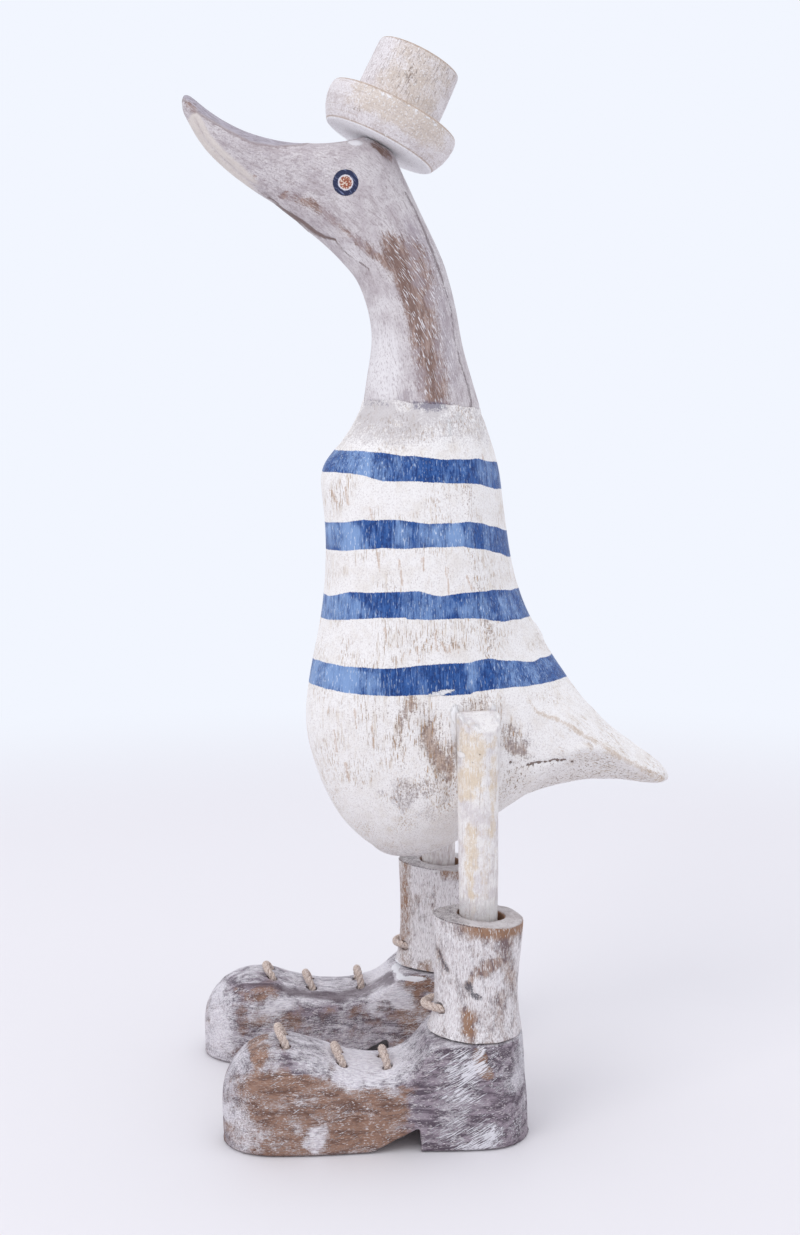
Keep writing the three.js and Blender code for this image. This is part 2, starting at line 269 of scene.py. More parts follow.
def normals_of(piece):
    """Which way the surface faces at each point."""
    flat = np.empty(len(piece.data.vertices) * 3, np.float32)
    piece.data.vertex_normals.foreach_get("vector", flat)
    return flat.reshape(-1, 3).astype(float)


def carve(piece, heights, push=0.0):
    """Moves every point outwards by its height in millimetres, and by a push of its own."""
    moved = points_of(piece) + normals_of(piece) * heights[:, None] + push
    piece.data.vertices.foreach_set("co", (moved / 1000).astype(np.float32).ravel())
    piece.data.update()


def keep(piece, **kept):
    """Stores numbers or vectors at the points, by name, for the finish to read."""
    for name, values in kept.items():
        vector = values.ndim == 2
        stored = piece.data.attributes.new(name, "FLOAT_VECTOR" if vector else "FLOAT", "POINT")
        stored.data.foreach_set("vector" if vector else "value", values.astype(np.float32).ravel())


def hand_over(piece, finish, node):
    """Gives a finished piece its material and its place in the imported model."""
    piece.data.materials.clear()
    piece.data.materials.append(finish)
    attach(piece, "root")
    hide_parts(node)


# %% [markdown]
# ## Measuring on the surface
# Worn patches, cracks and painted edges are placed by where they lie on the duck, mostly as seen from
# its side, by y and z in millimetres. These helpers give each point its distance from a drawn line, its
# share of a soft patch, and a smooth random height that is the same on every run.

# %% Rises, bells and lines
def smooth(values, low, high):
    """0 below low and 1 above high, with a smooth rise between them."""
    share = np.clip((values - low) / (high - low), 0, 1)
    return share * share * (3 - 2 * share)


def bell(values, width, middle=0.0):
    """1 where a value is at the middle, falling off on both sides within that width."""
    return np.exp(-((values - middle) / width) ** 2)


def steps_along(line):
    """The pieces of a drawn line: where each starts, its step, and the length before it."""
    before = 0.0
    for start, end in zip(line[:-1], line[1:]):
        step = np.subtract(end, start)
        yield np.array(start, float), step, before
        before += math.hypot(*step)


def line_distance(points, line):
    """Distance of each point from a line drawn on the side view."""
    flat = points[:, 1:]
    nearest = np.full(len(flat), 1e9)
    for start, step, before in steps_along(line):
        share = np.clip((flat - start) @ step / (step @ step), 0, 1)
        nearest = np.minimum(nearest, np.linalg.norm(flat - start - share[:, None] * step, axis=1))
    return nearest


def grain_along(points, line):
    """Coordinates that run with the wood: how far along a line, how far off it, and x."""
    flat = points[:, 1:]
    nearest, along, off = np.full(len(flat), 1e9), np.zeros(len(flat)), np.zeros(len(flat))
    for start, step, before in steps_along(line):
        length = math.hypot(*step)
        offset = flat - start
        share = np.clip(offset @ step / length ** 2, 0, 1)
        reach = np.linalg.norm(offset - share[:, None] * step, axis=1)
        side = (offset[:, 0] * step[1] - offset[:, 1] * step[0]) / length
        closer = reach < nearest
        nearest = np.where(closer, reach, nearest)
        along = np.where(closer, before + share * length, along)
        off = np.where(closer, side, off)
    return np.stack([along, off, points[:, 0]], axis=1)


# %% Waves and patches
def waves(points, size, seed, stretch=(1, 1, 1)):
    """Smooth random heights from -1 to 1 with bumps of about that size."""
    scaled = points / (size * np.array(stretch, float)) + seed * 17.31
    cell = np.floor(scaled).astype(np.int64)
    part = scaled - cell
    part = part * part * (3 - 2 * part)
    total = np.zeros(len(points))
    for corner in range(8):
        step = np.array([corner & 1, corner >> 1 & 1, corner >> 2])
        x, y, z = (cell + step).T
        mixed = (x * 73856093) ^ (y * 19349663) ^ (z * 83492791)
        mixed = ((mixed ^ (mixed >> 13)) * 1274126177) & 0x7FFFFFFF
        total += ((mixed % 20001) / 10000 - 1) * np.prod(np.where(step, part, 1 - part), axis=1)
    return total


def patch(points, y, z, half_y, half_z, lean=0.0, uneven=0.0):
    """1 in the middle of an oval on the side view, falling to 0 at its rim."""
    along, up = points[:, 1] - y, points[:, 2] - z
    cosine, sine = math.cos(math.radians(lean)), math.sin(math.radians(lean))
    reach = np.hypot((along * cosine + up * sine) / half_y, (up * cosine - along * sine) / half_z)
    return 1 - smooth(reach + uneven, 0.35, 1.15)


def patches(points, rows):
    """Adds up ragged patches: y, z, half width, half height, lean and strength of each."""
    uneven = 0.45 * waves(points, 6, 61) + 0.35 * waves(points, 2.6, 62)
    total = np.zeros(len(points))
    for y, z, half_y, half_z, lean, strength in rows:
        total += strength * patch(points, y, z, half_y, half_z, lean, uneven)
    return total


# %% [markdown]
# ## The body
# Torso and tail are one piece of root wood. A knife left long shallow hollows and a ridge that runs down
# each flank and out to the tail. In front of each leg the wood is scooped out. The lines are drawn on the
# side view, and a bell across each line turns it into a ridge or a hollow.

# %% Body relief
body = fine_copy("body", 0.82, "carved_body")
body_points = points_of(body)
body_x, body_y, body_z = body_points.T
left_side = smooth(body_x, -4, 4)

ridge_line = [(8, 240), (8.1, 228), (8.1, 214), (11.8, 198), (13.9, 188), (20, 173), (27, 161),
              (33.5, 153.4), (43.7, 148.9), (51.9, 143.7), (61.4, 138.1), (70.3, 132.3), (88, 122.5)]
scoop_line = [(-7.5, 151), (-7.8, 145), (-5, 139), (-1.5, 133), (1.5, 122)]
rear_scoop_line = [(20, 153), (22.5, 146), (24, 138), (22, 126)]
ridge = line_distance(body_points, ridge_line)
scoop = line_distance(body_points, scoop_line)
rear_scoop = line_distance(body_points, rear_scoop_line)
heights = (
    0.30 * waves(body_points, 21, 1)
    + 0.16 * waves(body_points, 8, 2, (1, 1, 2.4))
    + 0.06 * waves(body_points, 2.0, 3, (1, 1, 7))
    + 0.40 * bell(ridge, 1.8)
    - 2.1 * bell(scoop, 3.6)
    - 1.0 * bell(rear_scoop, 3.4)
    + 0.8 * smooth(body_y, 68, 88)
)

# %% [markdown]
# ### The bands
# They are painted by hand, so their edges wave. Each edge is a list of places read off along the left
# side, and the value kept at a point is how deep in mm it lies inside a band. On the right side a longer
# wave is added, so that the two sides aren't the same.

# %% Body bands
band_edges = [
    ([-44, -37, -24, -10, 0, 11, 19], [250.0, 249.7, 248.9, 247.0, 246.1, 246.5, 245.3],
     [-44, -35, -29, -23, -3, 11, 16, 20], [241.6, 241.3, 240.1, 238.5, 237.9, 237.1, 236.0, 235.0]),
    ([-43, -30, -19, -8, 0, 7, 15, 27], [222.8, 224.6, 224.8, 223.2, 223.6, 223.7, 222.6, 219.3],
     [-42, -24, -13, -3, 5, 8, 17, 29], [212.6, 214.5, 214.3, 214.8, 215.1, 213.9, 212.9, 208.8]),
    ([-42, -35, -11, -3, 4, 12, 21, 32], [195.7, 198.0, 199.1, 197.4, 198.1, 198.6, 198.3, 197.1],
     [-44, -27, -16, -15, -2, 12, 21, 36], [186.8, 189.0, 189.4, 188.7, 189.1, 188.6, 186.6, 186.3]),
    ([-48, -25, -11, -2, 7, 12, 16, 31, 42],
     [171.5, 171.1, 172.2, 173.0, 172.8, 174.0, 174.1, 171.4, 171.5],
     [-47, -37, -25, -4, 7, 9, 16, 39, 47],
     [162.2, 161.4, 161.3, 161.6, 161.4, 162.2, 163.0, 163.0, 162.9]),
]
fine_wave = 0.35 * waves(body_points, 5, 4, (1, 1, 4))
edge_wave = fine_wave + 0.7 * (1 - left_side) * waves(body_points, 17, 5, (1, 1, 6))
inside_band = np.full(len(body_points), -9.0)
for top_y, top_z, low_y, low_z in band_edges:
    below_top = np.interp(body_y, top_y, top_z) + edge_wave - body_z
    above_low = body_z - np.interp(body_y, low_y, low_z) - edge_wave
    inside_band = np.maximum(inside_band, np.minimum(below_top, above_low))
print("painted share of the body", round(float((inside_band > 0).mean()), 3))

# %% [markdown]
# ### Wear, dirt, painted shade and painted sheen
# In the scoops and along the ridge the wash has worn down to brown. Dirt gathers below the neck, and
# under the belly and beside the legs dirt is laid together with painted shade. Where the brush ran dry,
# the blue is thin, and its lighter zones are painted sheen as well. A row of patches places each of
# these: y, z, half width, half height, lean in degrees and strength. Strengths below 0 take away.

# %% Bare wood on the body
front_streak_line = [(-14, 161), (-17.6, 153), (-18.6, 145), (-17.5, 137), (-18, 131)]
front_streak = line_distance(body_points, front_streak_line)
front_fade = 0.4 + 0.6 * smooth(body_z, 132, 156)
in_scoop = smooth(-body_z, -153, -146) * smooth(body_z, 126, 136)
bare = left_side * (
    0.8 * bell(front_streak, 2.3) * front_fade
    + 0.95 * bell(scoop, 2.7) * in_scoop
    + 0.35 * bell(scoop, 5.5, 1)
    + 0.32 * bell(ridge, 2.4) * smooth(body_z, 172, 186)
    + patches(body_points, [
        (23, 146, 5.5, 8, 30, 0.7), (0.5, 142, 1.8, 14, 0, 0.6), (27, 140, 6, 5, -30, 0.4),
        (9, 158.5, 11, 3.6, 0, 0.6), (-12, 157, 5, 3.5, 0, 0.4), (-12, 125, 8, 9, -40, 0.5),
        (14.5, 181, 2.4, 9, 0, 0.35), (-30, 154, 9, 5, 0, 0.25), (-19, 200, 9, 8, 0, 0.2),
        (-4, 181, 10, 6, 0, 0.35), (5, 232, 9, 6, 0, 0.25), (5, 262, 5, 4, 0, 0.35),
        (-38, 232, 4, 6, 0, 0.3)]))
print("bare share of the body", round(float((bare > 0.6).mean()), 3))

# %% Dirt, painted shade, thin blue and painted sheen on the body
# Grey below the neck is dirt; under the belly and beside the legs it is dirt with painted shade.
grime = (0.4 + 0.6 * left_side) * (
    0.75 * smooth(body_z, 246, 256)
    + 0.7 * smooth(-body_z, -106, -94)
    + patches(body_points, [
        (-15, 125, 10, 12, 25, 0.85), (-8, 118, 9, 8, 0, 0.4), (24, 146, 8, 8, 30, 0.5),
        (34, 141, 12, 7, -20, 0.4), (-14, 261, 22, 5, 4, 0.35), (-4, 264, 7, 3, 0, 0.6),
        (-21, 262, 11, 6, 0, 0.8), (-18, 255, 13, 6, 0, 0.3)]))
# Lighter zones of the blue: thin paint where the brush ran dry, and painted sheen.
dry = left_side * patches(body_points, [
    (-31, 245.5, 10, 8, -20, 0.6), (17, 241, 6, 8, 0, 0.35),
    (-8, 219, 40, 9, 0, 0.35), (-37, 218, 9, 9, 0, 0.45), (-16, 219, 4, 9, 0, 0.4), (1, 219, 10, 9, 0, 0.5),
    (-23, 219, 4, 9, 0, -0.35), (11, 218, 3, 9, 0, -0.35),
    (-37, 192, 10, 9, 0, 0.6), (10, 193, 10, 9, 0, 0.5), (25, 192, 9, 9, 0, 0.4), (-8, 193, 12, 9, 0, 0.3),
    (-38, 166, 17, 12, 0, 0.75), (8, 168, 3.5, 10, 0, 0.5), (28, 167, 14, 12, 0, 0.5),
])
dry += 0.5 * (1 - left_side) * np.clip(waves(body_points, 16, 7, (1, 1, 3)) + 0.3, 0, 1)
print("dirty share of the body", round(float((grime > 0.6).mean()), 3))

# %% Filler, streaks, crack and pores
leg_x, left_leg_y, right_leg_y, groove_radius = 38.3, 9.0, 7.6, 8.3
leg_y = np.where(body_x < 0, right_leg_y, left_leg_y)
around_leg = np.hypot(np.abs(body_x) - leg_x, body_y - leg_y)
beside_top = smooth(body_z, 138, 150) * smooth(-body_z, -161, -156)
filler = np.maximum(bell(around_leg, 1.5, groove_radius + 0.3) * beside_top, left_side * patches(
    body_points, [(1.6, 258, 0.9, 8, 0, 0.7), (-3, 162.6, 6, 1.0, 12, 0.9), (-1, 264.5, 3, 1.6, 0, 0.6),
                  (6, 262, 3, 3, 0, 0.5)]))
streak_lines = [
    [(-18.1, 210.4), (-16.7, 201.2)], [(-25.2, 212.8), (-24.6, 205.5)], [(-0.9, 207.9), (-0.3, 198.1)],
    [(-12.2, 179.1), (-11.4, 173.5)], [(-5.7, 184), (-4.8, 177.8)], [(-3.3, 180.9), (-1.5, 177)],
    [(-0.9, 180.3), (0.3, 176.2)], [(1.4, 182.1), (2.6, 177)], [(-23.1, 185.8), (-22.6, 180.9)],
    [(6.8, 204.2), (8.6, 199.3)], [(-35.9, 236.2), (-35.3, 230)], [(-27.6, 228.8), (-27.1, 223.9)],
    [(-40.7, 234.9), (-38.9, 230.6)], [(-9.8, 211), (-9.3, 206.7)], [(14.5, 247.8), (16.3, 243.5)],
    [(-34, 156), (-33.4, 149)], [(-41, 147), (-40, 139)], [(-28, 150), (-27.2, 142)],
    [(-37, 135), (-35.5, 128)],
]
streaks = np.zeros(len(body_points))
for streak_line in streak_lines:
    streaks = np.maximum(streaks, left_side * bell(line_distance(body_points, streak_line), 0.7))
crack_line = [(28.9, 134.4), (31.4, 134.7), (35.3, 135.0), (39.4, 135.3), (44.6, 134.9)]
crack = bell(line_distance(body_points, crack_line), 0.6) * left_side
for hole_y, hole_z in [(23.3, 135.4), (48.3, 133.4)]:
    crack = np.maximum(crack, left_side * patch(body_points, hole_y, hole_z, 1.1, 0.8))
tail_line = bell(ridge, 1.2) * smooth(body_y, 18, 40)
below_ridge = np.interp(body_y, *zip(*ridge_line[7:])) - body_z
behind_legs = smooth(body_y, 14, 26) * smooth(-body_z, -139, -131)
under_tail = behind_legs * smooth(below_ridge, 0, 4)
crack_length = math.dist(crack_line[0], crack_line[-1])
print(len(streak_lines), "long streaks, and a crack", round(crack_length, 1), "mm long")

# %% [markdown]
# ### Joints of the body
# The neck seam is a glued butt joint, and the solids leave a third of a millimetre there. On the real
# duck filler closes it, so the body's end is drawn up over the joint, and a ragged bead of filler stands
# a little proud on both sides. Filler also closes the groove round each leg's top, so the groove's wall
# and its upper end are drawn in to the leg.

# %% Body seam and grooves
seam_front, seam_back = (-28, 267.4), (17.2, 264)


def seam_distance(points):
    """Height over the glued joint between body and neck, which slopes down to the back."""
    slope = (seam_back[1] - seam_front[1]) / (seam_back[0] - seam_front[0])
    return points[:, 2] - (seam_front[1] + (points[:, 1] - seam_front[0]) * slope)


seam_height = seam_distance(body_points)
heights *= smooth(-seam_height, 0.3, 3)
heights += 0.42 * bell(seam_height, 1.3, -0.6) * waves(body_points, 2.2, 6)
up_to_neck = bell(seam_height, 0.9, 0.2)[:, None] * (0, 0, 1.2)
over_leg = smooth(-normals_of(body)[:, 2], 0.3, 0.7) * (around_leg < groove_radius + 1.7)
over_leg = over_leg * smooth(body_z, 148, 151) * smooth(-body_z, -161, -158)
down_to_leg = over_leg[:, None] * (0, 0, -1.5)
into_groove = bell(around_leg, 1.2, groove_radius) * beside_top
carve(body, (heights + into_groove) * (1 - over_leg) - 0.5 * crack, up_to_neck + down_to_leg)

# %% What the body's finish reads
# Where the painted shade and the smudges along the neck seam are darkest.
neck_shade_and_smudges = [(-4, 265, 9, 6, 4, 0.8), (-24, 267, 7, 5, 4, 0.35), (9, 263, 8, 4, 4, 0.25)]
tail_run = np.stack([
    body_y * 0.86 - body_z * 0.5,
    body_z * 0.86 + body_y * 0.5,
    body_x,
], axis=1)
keep(body, grain=body_points[:, [2, 1, 0]], tail_grain=tail_run,
     down_tail=smooth(body_y + 0.5 * (160 - body_z), 34, 62),
     band=inside_band, bare=bare, grime=grime, crack=crack, tail_line=tail_line, under_tail=under_tail,
     dry=dry, streaks=streaks, filler=filler,
     seam=bell(seam_height, 2.3, -0.6) * (0.3 + left_side * patches(body_points, neck_shade_and_smudges)))
print("the body carries", len(body.data.attributes), "attributes")

# %% [markdown]
# ### The body's finish
# A cream wash with tan dashes where the pores show, brown wood where sandpaper took the wash off, dirt
# with painted shade under the belly, painted shade along the neck seam, filler, and satin blue over all
# of it. The blue is thin where the brush ran dry and carries painted sheen and small painted highlights,
# so it gets lighter in upright strokes. The grain stands upright on the torso and turns to run out along
# the tail, so the grain's noise is read twice and blended.

# %% Body finish
def body_finish():
    f = Finish("cream_wash_with_blue_bands")
    down_tail = f.kept("down_tail")
    tail_place = f.kept("tail_grain", 1)

    def in_wood(size, along, detail=3):
        """Noise along the wood, upright or down the tail."""
        tail = f.texture(f.vector("MULTIPLY", tail_place, (1 / along, 1, 1)), 1 / size, detail)
        return f.noise(size, detail, 0.6, along=along) * (1 - down_tail) + tail * down_tail

    fine, streak = in_wood(0.45, 11), in_wood(1.2, 12)
    zone, cloud = f.noise(12, 2), f.noise(7, 4, 0.7)
    dab, dust = f.noise(1.5, 3, 0.7), f.noise(0.6, 3, 0.8)
    stroke, broad = f.noise(0.7, 4, 0.7, along=16), f.noise(5, 2, along=5)
    ragged = (dust - 0.5) * 2.0 + (dab - 0.5) * 1.0 + (fine - 0.5) * 1.3 + (streak - 0.5) * 1.0

    dashes = f.soft(in_wood(0.42, 12, 1), 0.6, 0.67) * f.soft(zone + f.kept("bare") * 0.3, 0.44, 0.62)
    long_streaks = f.soft(f.kept("streaks") + (fine - 0.5) * 2.2 + (dust - 0.5) * 0.6, 0.55, 0.95)
    pores = f.soft(in_wood(0.7, 2.0, 1), 0.6, 0.66) * f.kept("under_tail")
    worn = f.soft(f.kept("bare") + ragged, 0.35, 1.1)
    dirt_and_shade = f.soft(f.kept("grime") + ragged, 0.3, 1.2)
    tail_streak = f.soft(f.kept("tail_line") + ragged * 0.6 + (cloud - 0.5) * 2.0, 0.45, 1.1)
    # Painted shade along the neck seam, with smudges.
    shadow = f.soft(f.kept("seam") + (dab - 0.5) * 1.3 + (dust - 0.5) * 1.2, 0.55, 1.0)
    white = f.soft(f.kept("filler") + (dust - 0.5) * 1.5 + (dab - 0.5), 0.45, 0.75)
    dry = f.kept("dry") + (stroke - 0.5) * 1.6 + (broad - 0.5) * 1.4 + (dust - 0.5) * 0.7
    dry = f.soft(dry, -0.1, 0.95)
    painted = f.soft(f.kept("band") + (fine - 0.5) * 0.8 + (dust - 0.5) * 0.3, -0.05, 0.2)
    split = f.soft(f.kept("crack") + (dab - 0.5) * 2.2, 0.5, 0.75)

    wood = f.mix((184, 158, 140), (134, 108, 98), f.soft(dab * 0.6 + fine * 0.4, 0.42, 0.6))
    # The blue gets lighter where it is thin and with painted sheen; its small pale streaks are white flecks
    # and painted highlights.
    blue = f.layers(
        (8, 50, 112),
        ((38, 86, 154), f.soft(stroke * 0.6 + dab * 0.4, 0.4, 0.58)),
        ((128, 158, 204), dry),
        ((206, 218, 234), f.spots(0.45, 0.63, along=6) * (0.3 + dry * 0.5)))
    colour = f.layers(
        (242, 238, 236),
        ((230, 223, 217), f.soft(cloud, 0.44, 0.7) * 0.75),
        ((216, 203, 188), f.soft(streak, 0.52, 0.66) * f.soft(zone, 0.38, 0.6) * 0.6),
        ((204, 195, 193), f.soft(dust, 0.5, 0.62) * 0.55),
        ((190, 158, 128), dashes * (0.65 + f.kept("bare"))),
        ((186, 152, 124), long_streaks * 0.55),
        ((154, 130, 110), pores * 0.85),
        (wood, worn * 0.85),
        # Dirt, with painted shade under the belly and beside the legs.
        ((172, 163, 165), dirt_and_shade * 0.55),
        ((194, 171, 148), tail_streak * 0.6),
        ((116, 110, 128), shadow * 0.75),
        ((242, 240, 240), white * 0.85),
        (blue, painted * (1 - white * 0.9)),
        ((104, 76, 62), split * 0.85))
    roughness = 0.66 - painted * 0.28 + worn * 0.06 + (dust - 0.5) * 0.25
    relief = fine * 0.7 + dust * 0.35 + white * 0.4 + painted * 0.1
    relief = relief - dashes * 0.4 - pores * 0.5 - split - worn * 0.4
    return f.coat(colour, roughness, f.bump(relief, 0.4), 0.32)


hand_over(body, body_finish(), "body")

# %% [markdown]
# ## Neck, head and bill
# The grain turns with the neck and runs out along the bill, so streaks are laid along a line drawn down
# the middle of the piece. The mouth is one knife cut near the bill's lower edge. A low ridge runs along
# the bill's upper edge, and a sharp one down the back of the neck.

# %% Head relief
head = fine_copy("head", 0.62, "carved_head")
head_points = points_of(head)
head_x, head_y, head_z = head_points.T
near_side = smooth(head_x, -2, 2)
middle_line = [(-5, 255), (-7, 285), (-9, 300), (-14, 314), (-23, 331), (-36, 345), (-52, 352), (-68, 357),
               (-82, 364), (-96, 375)]
mouth_line = [(-38.7, 325.1), (-42.1, 326.2), (-45.6, 328.2), (-50.9, 332.2), (-57.1, 336.3),
              (-63.2, 341.2), (-71.5, 347.2), (-80, 354.5), (-85.2, 360.3), (-88.3, 366.5)]
back_line = [(-13.5, 342), (-9.7, 336.1), (-6.1, 327.1), (-0.6, 313), (3.2, 300.9), (4.6, 290.7),
             (6.8, 280.6), (9.9, 271.9), (11.2, 263.9)]
bill_top = [(-92, 374), (-86.4, 368.2), (-77.7, 363.2), (-68.9, 358.4), (-60, 357), (-49, 358.6), (-38, 362)]
mouth = line_distance(head_points, mouth_line)
back_edge = line_distance(head_points, back_line)
run = grain_along(head_points, middle_line)
bill = smooth(-head_y, 40, 52)
top_strip = (head_z - np.interp(head_y, *zip(*bill_top))) * bill - 3 * (1 - bill)
head_seam = seam_distance(head_points)
heights = (
    0.22 * waves(head_points, 15, 11)
    + 0.10 * waves(run, 4, 12, (5, 1, 1))
    + 0.05 * waves(run, 1.6, 13, (9, 1, 1))
    + 0.25 * bell(back_edge, 1.2)
    + 0.2 * bill * bell(top_strip, 1.0)
    - 0.55 * bell(mouth, 0.6)
)
heights = heights * smooth(head_seam, 0.8, 3.4)
heights += 0.42 * bell(head_seam, 1.2, 0.9) * waves(head_points, 2.2, 14)
carve(head, heights)

# %% [markdown]
# ### Wear of the head
# A long patch of brown wood shows on the side of the neck, with fine scratches across it. The wash is
# also worn off beside the mouth, below the hat and at the bill's tip. These marks were made by chance,
# so they lie on the side that is seen, and the other side stays plain.

# %% Brown neck
brown_front = [(267.6, -9), (274.4, -10.5), (281, -11.3), (289, -12.1), (294.6, -12.5), (300, -13.9),
               (306.8, -16.1), (312.3, -18.4), (317.7, -20.2), (322, -21.9), (330, -25.5)]
brown_back = [(267.7, -0.5), (276.7, -1.6), (283.4, -2.6), (291.3, -3.7), (298, -4.8), (305.8, -5.9),
              (313.6, -7), (321.3, -9.9), (328.2, -14.6)]
front_y = np.interp(head_z, *zip(*brown_front))
back_y = np.interp(head_z, *zip(*brown_back))
across_brown = (head_y - front_y) / (back_y - front_y)
below_jaw = 1 - smooth(head_z, 320, 334)
brown = smooth(across_brown, -0.4, 0.3) * (1 - smooth(across_brown, 0.9, 1.9)) * below_jaw
scratched = smooth(across_brown, -0.1, 0.2) * (1 - smooth(across_brown, 1.6, 2.3))
scratched = scratched * (0.35 + 0.65 * below_jaw)
core = line_distance(head_points, [(-20.5, 323), (-16.2, 314.4), (-13.4, 306.8), (-10.4, 300.1), (-8.6, 290)])
low_core = line_distance(head_points, [(-5.4, 284), (-4.4, 276), (-3.6, 268)])
print("brown share of the head", round(float((brown * near_side > 0.6).mean()), 3))

# %% Bare wood, dirt and painted shade on the head
cheek_line = [(-56, 341), (-45.7, 336.2), (-39.1, 330.8), (-31.3, 324.4), (-25.7, 320.0), (-21, 316)]
chin_line = [(-38.7, 325.1), (-35.2, 321.2), (-29.7, 317.1), (-23.2, 312.5), (-19.4, 310.2)]
shade_line = [(-12, 330), (-6, 317), (-1, 303), (1, 290), (3, 276)]
head_bare = near_side * (
    1.0 * brown
    + 0.35 * bell(core, 3.2)
    + 0.3 * bell(low_core, 2.2)
    + 0.68 * bell(line_distance(head_points, cheek_line), 1.8)
    + patches(head_points, [
        (-22, 356.8, 7.5, 3.2, -25, 1.0), (-89, 370.6, 3.6, 1.8, -50, 0.85), (-67.5, 347, 1.6, 1.2, 0, 0.7),
        (-55, 344.6, 3.2, 0.9, -12, 0.6), (-57.5, 340.2, 2.0, 1.0, 0, 0.6),
        (-30.5, 339.3, 0.7, 2.0, -20, 0.8), (-46, 337, 14, 5, -25, 0.25), (-28, 322.5, 8, 3, -42, 0.3)]))
# Painted shade down the back of the neck; the same grey also lies over the bill, in two patches and a little
# on the far side.
head_grime = (
    0.8 * bell(line_distance(head_points, shade_line), 6.5) * near_side
    + 0.5 * smooth(-head_y, 30, 42) * near_side
    + 0.25 * (1 - near_side)
    + patches(head_points, [(-14, 318, 9, 12, 0, 0.3), (-15, 269, 5, 3, 40, 0.7)]))
pale = near_side * (patch(head_points, -21, 280, 8, 22) + patches(head_points, [
    (-34, 322, 10, 3.5, -42, 0.7), (-21, 305, 4, 9, -25, 0.5)]))
print("bare share of the head", round(float((head_bare > 0.6).mean()), 3))

# %% What the head's finish reads
eye_middle = (17.4, -35.6, 344.0)
mirrored = np.abs(head_points) * (1, 0, 0) + head_points * (0, 1, 1)
putty_by_hat = np.maximum(
    patch(head_points, -31.5, 359, 3.6, 2.0, -10), 0.6 * patch(head_points, -26, 361, 3, 1.2))
lips_end = smooth(-head_y, 37, 44)
chin = line_distance(head_points, chin_line)
# Where the painted shade and the smudges along the neck seam are darkest on the head.
neck_shade_and_smudges = [(-4, 265, 9, 6, 4, 0.8), (-24, 267, 7, 5, 4, 0.35), (9, 263, 8, 4, 4, 0.3)]
under_hat = patch(head_points, -22, 356.8, 7.5, 3.2, -25)
keep(head, grain=run, scratch=np.stack([run[:, 0], run[:, 1] + 0.28 * run[:, 0], run[:, 2]], axis=1),
     scratched=scratched * near_side, bare=head_bare, grime=head_grime, pale=pale,
     filler=near_side * putty_by_hat,
     mouth=np.maximum(bell(mouth, 0.3 + 0.3 * lips_end), 0.58 * near_side * bell(chin, 0.4)),
     mouth_back=smooth(head_y, -70, -50),
     lip=smooth(-head_y, 60, 72) * bell(mouth, 1.6, 1.2),
     top_strip=top_strip, back_edge=(0.95 + 0.3 * waves(run, 9, 15)) * bell(back_edge, 0.65),
     seam=bell(head_seam, 1.8, 0.4) * (0.25 + near_side * patches(head_points, neck_shade_and_smudges)),
     core=near_side * np.maximum(np.maximum(bell(core, 3.6), bell(low_core, 2.4)), under_hat),
     eye=np.linalg.norm(mirrored - eye_middle, axis=1))
print("the head carries", len(head.data.attributes), "attributes")

# %% [markdown]
# ### The head's finish
# A thinner, greyer wash than the body's, rubbed off in streaks that follow the neck. The eye is paint
# too: a dark ring, a pale ring and a rust coloured pupil. It is drawn by the distance from its middle,
# which the mesh keeps for both sides.

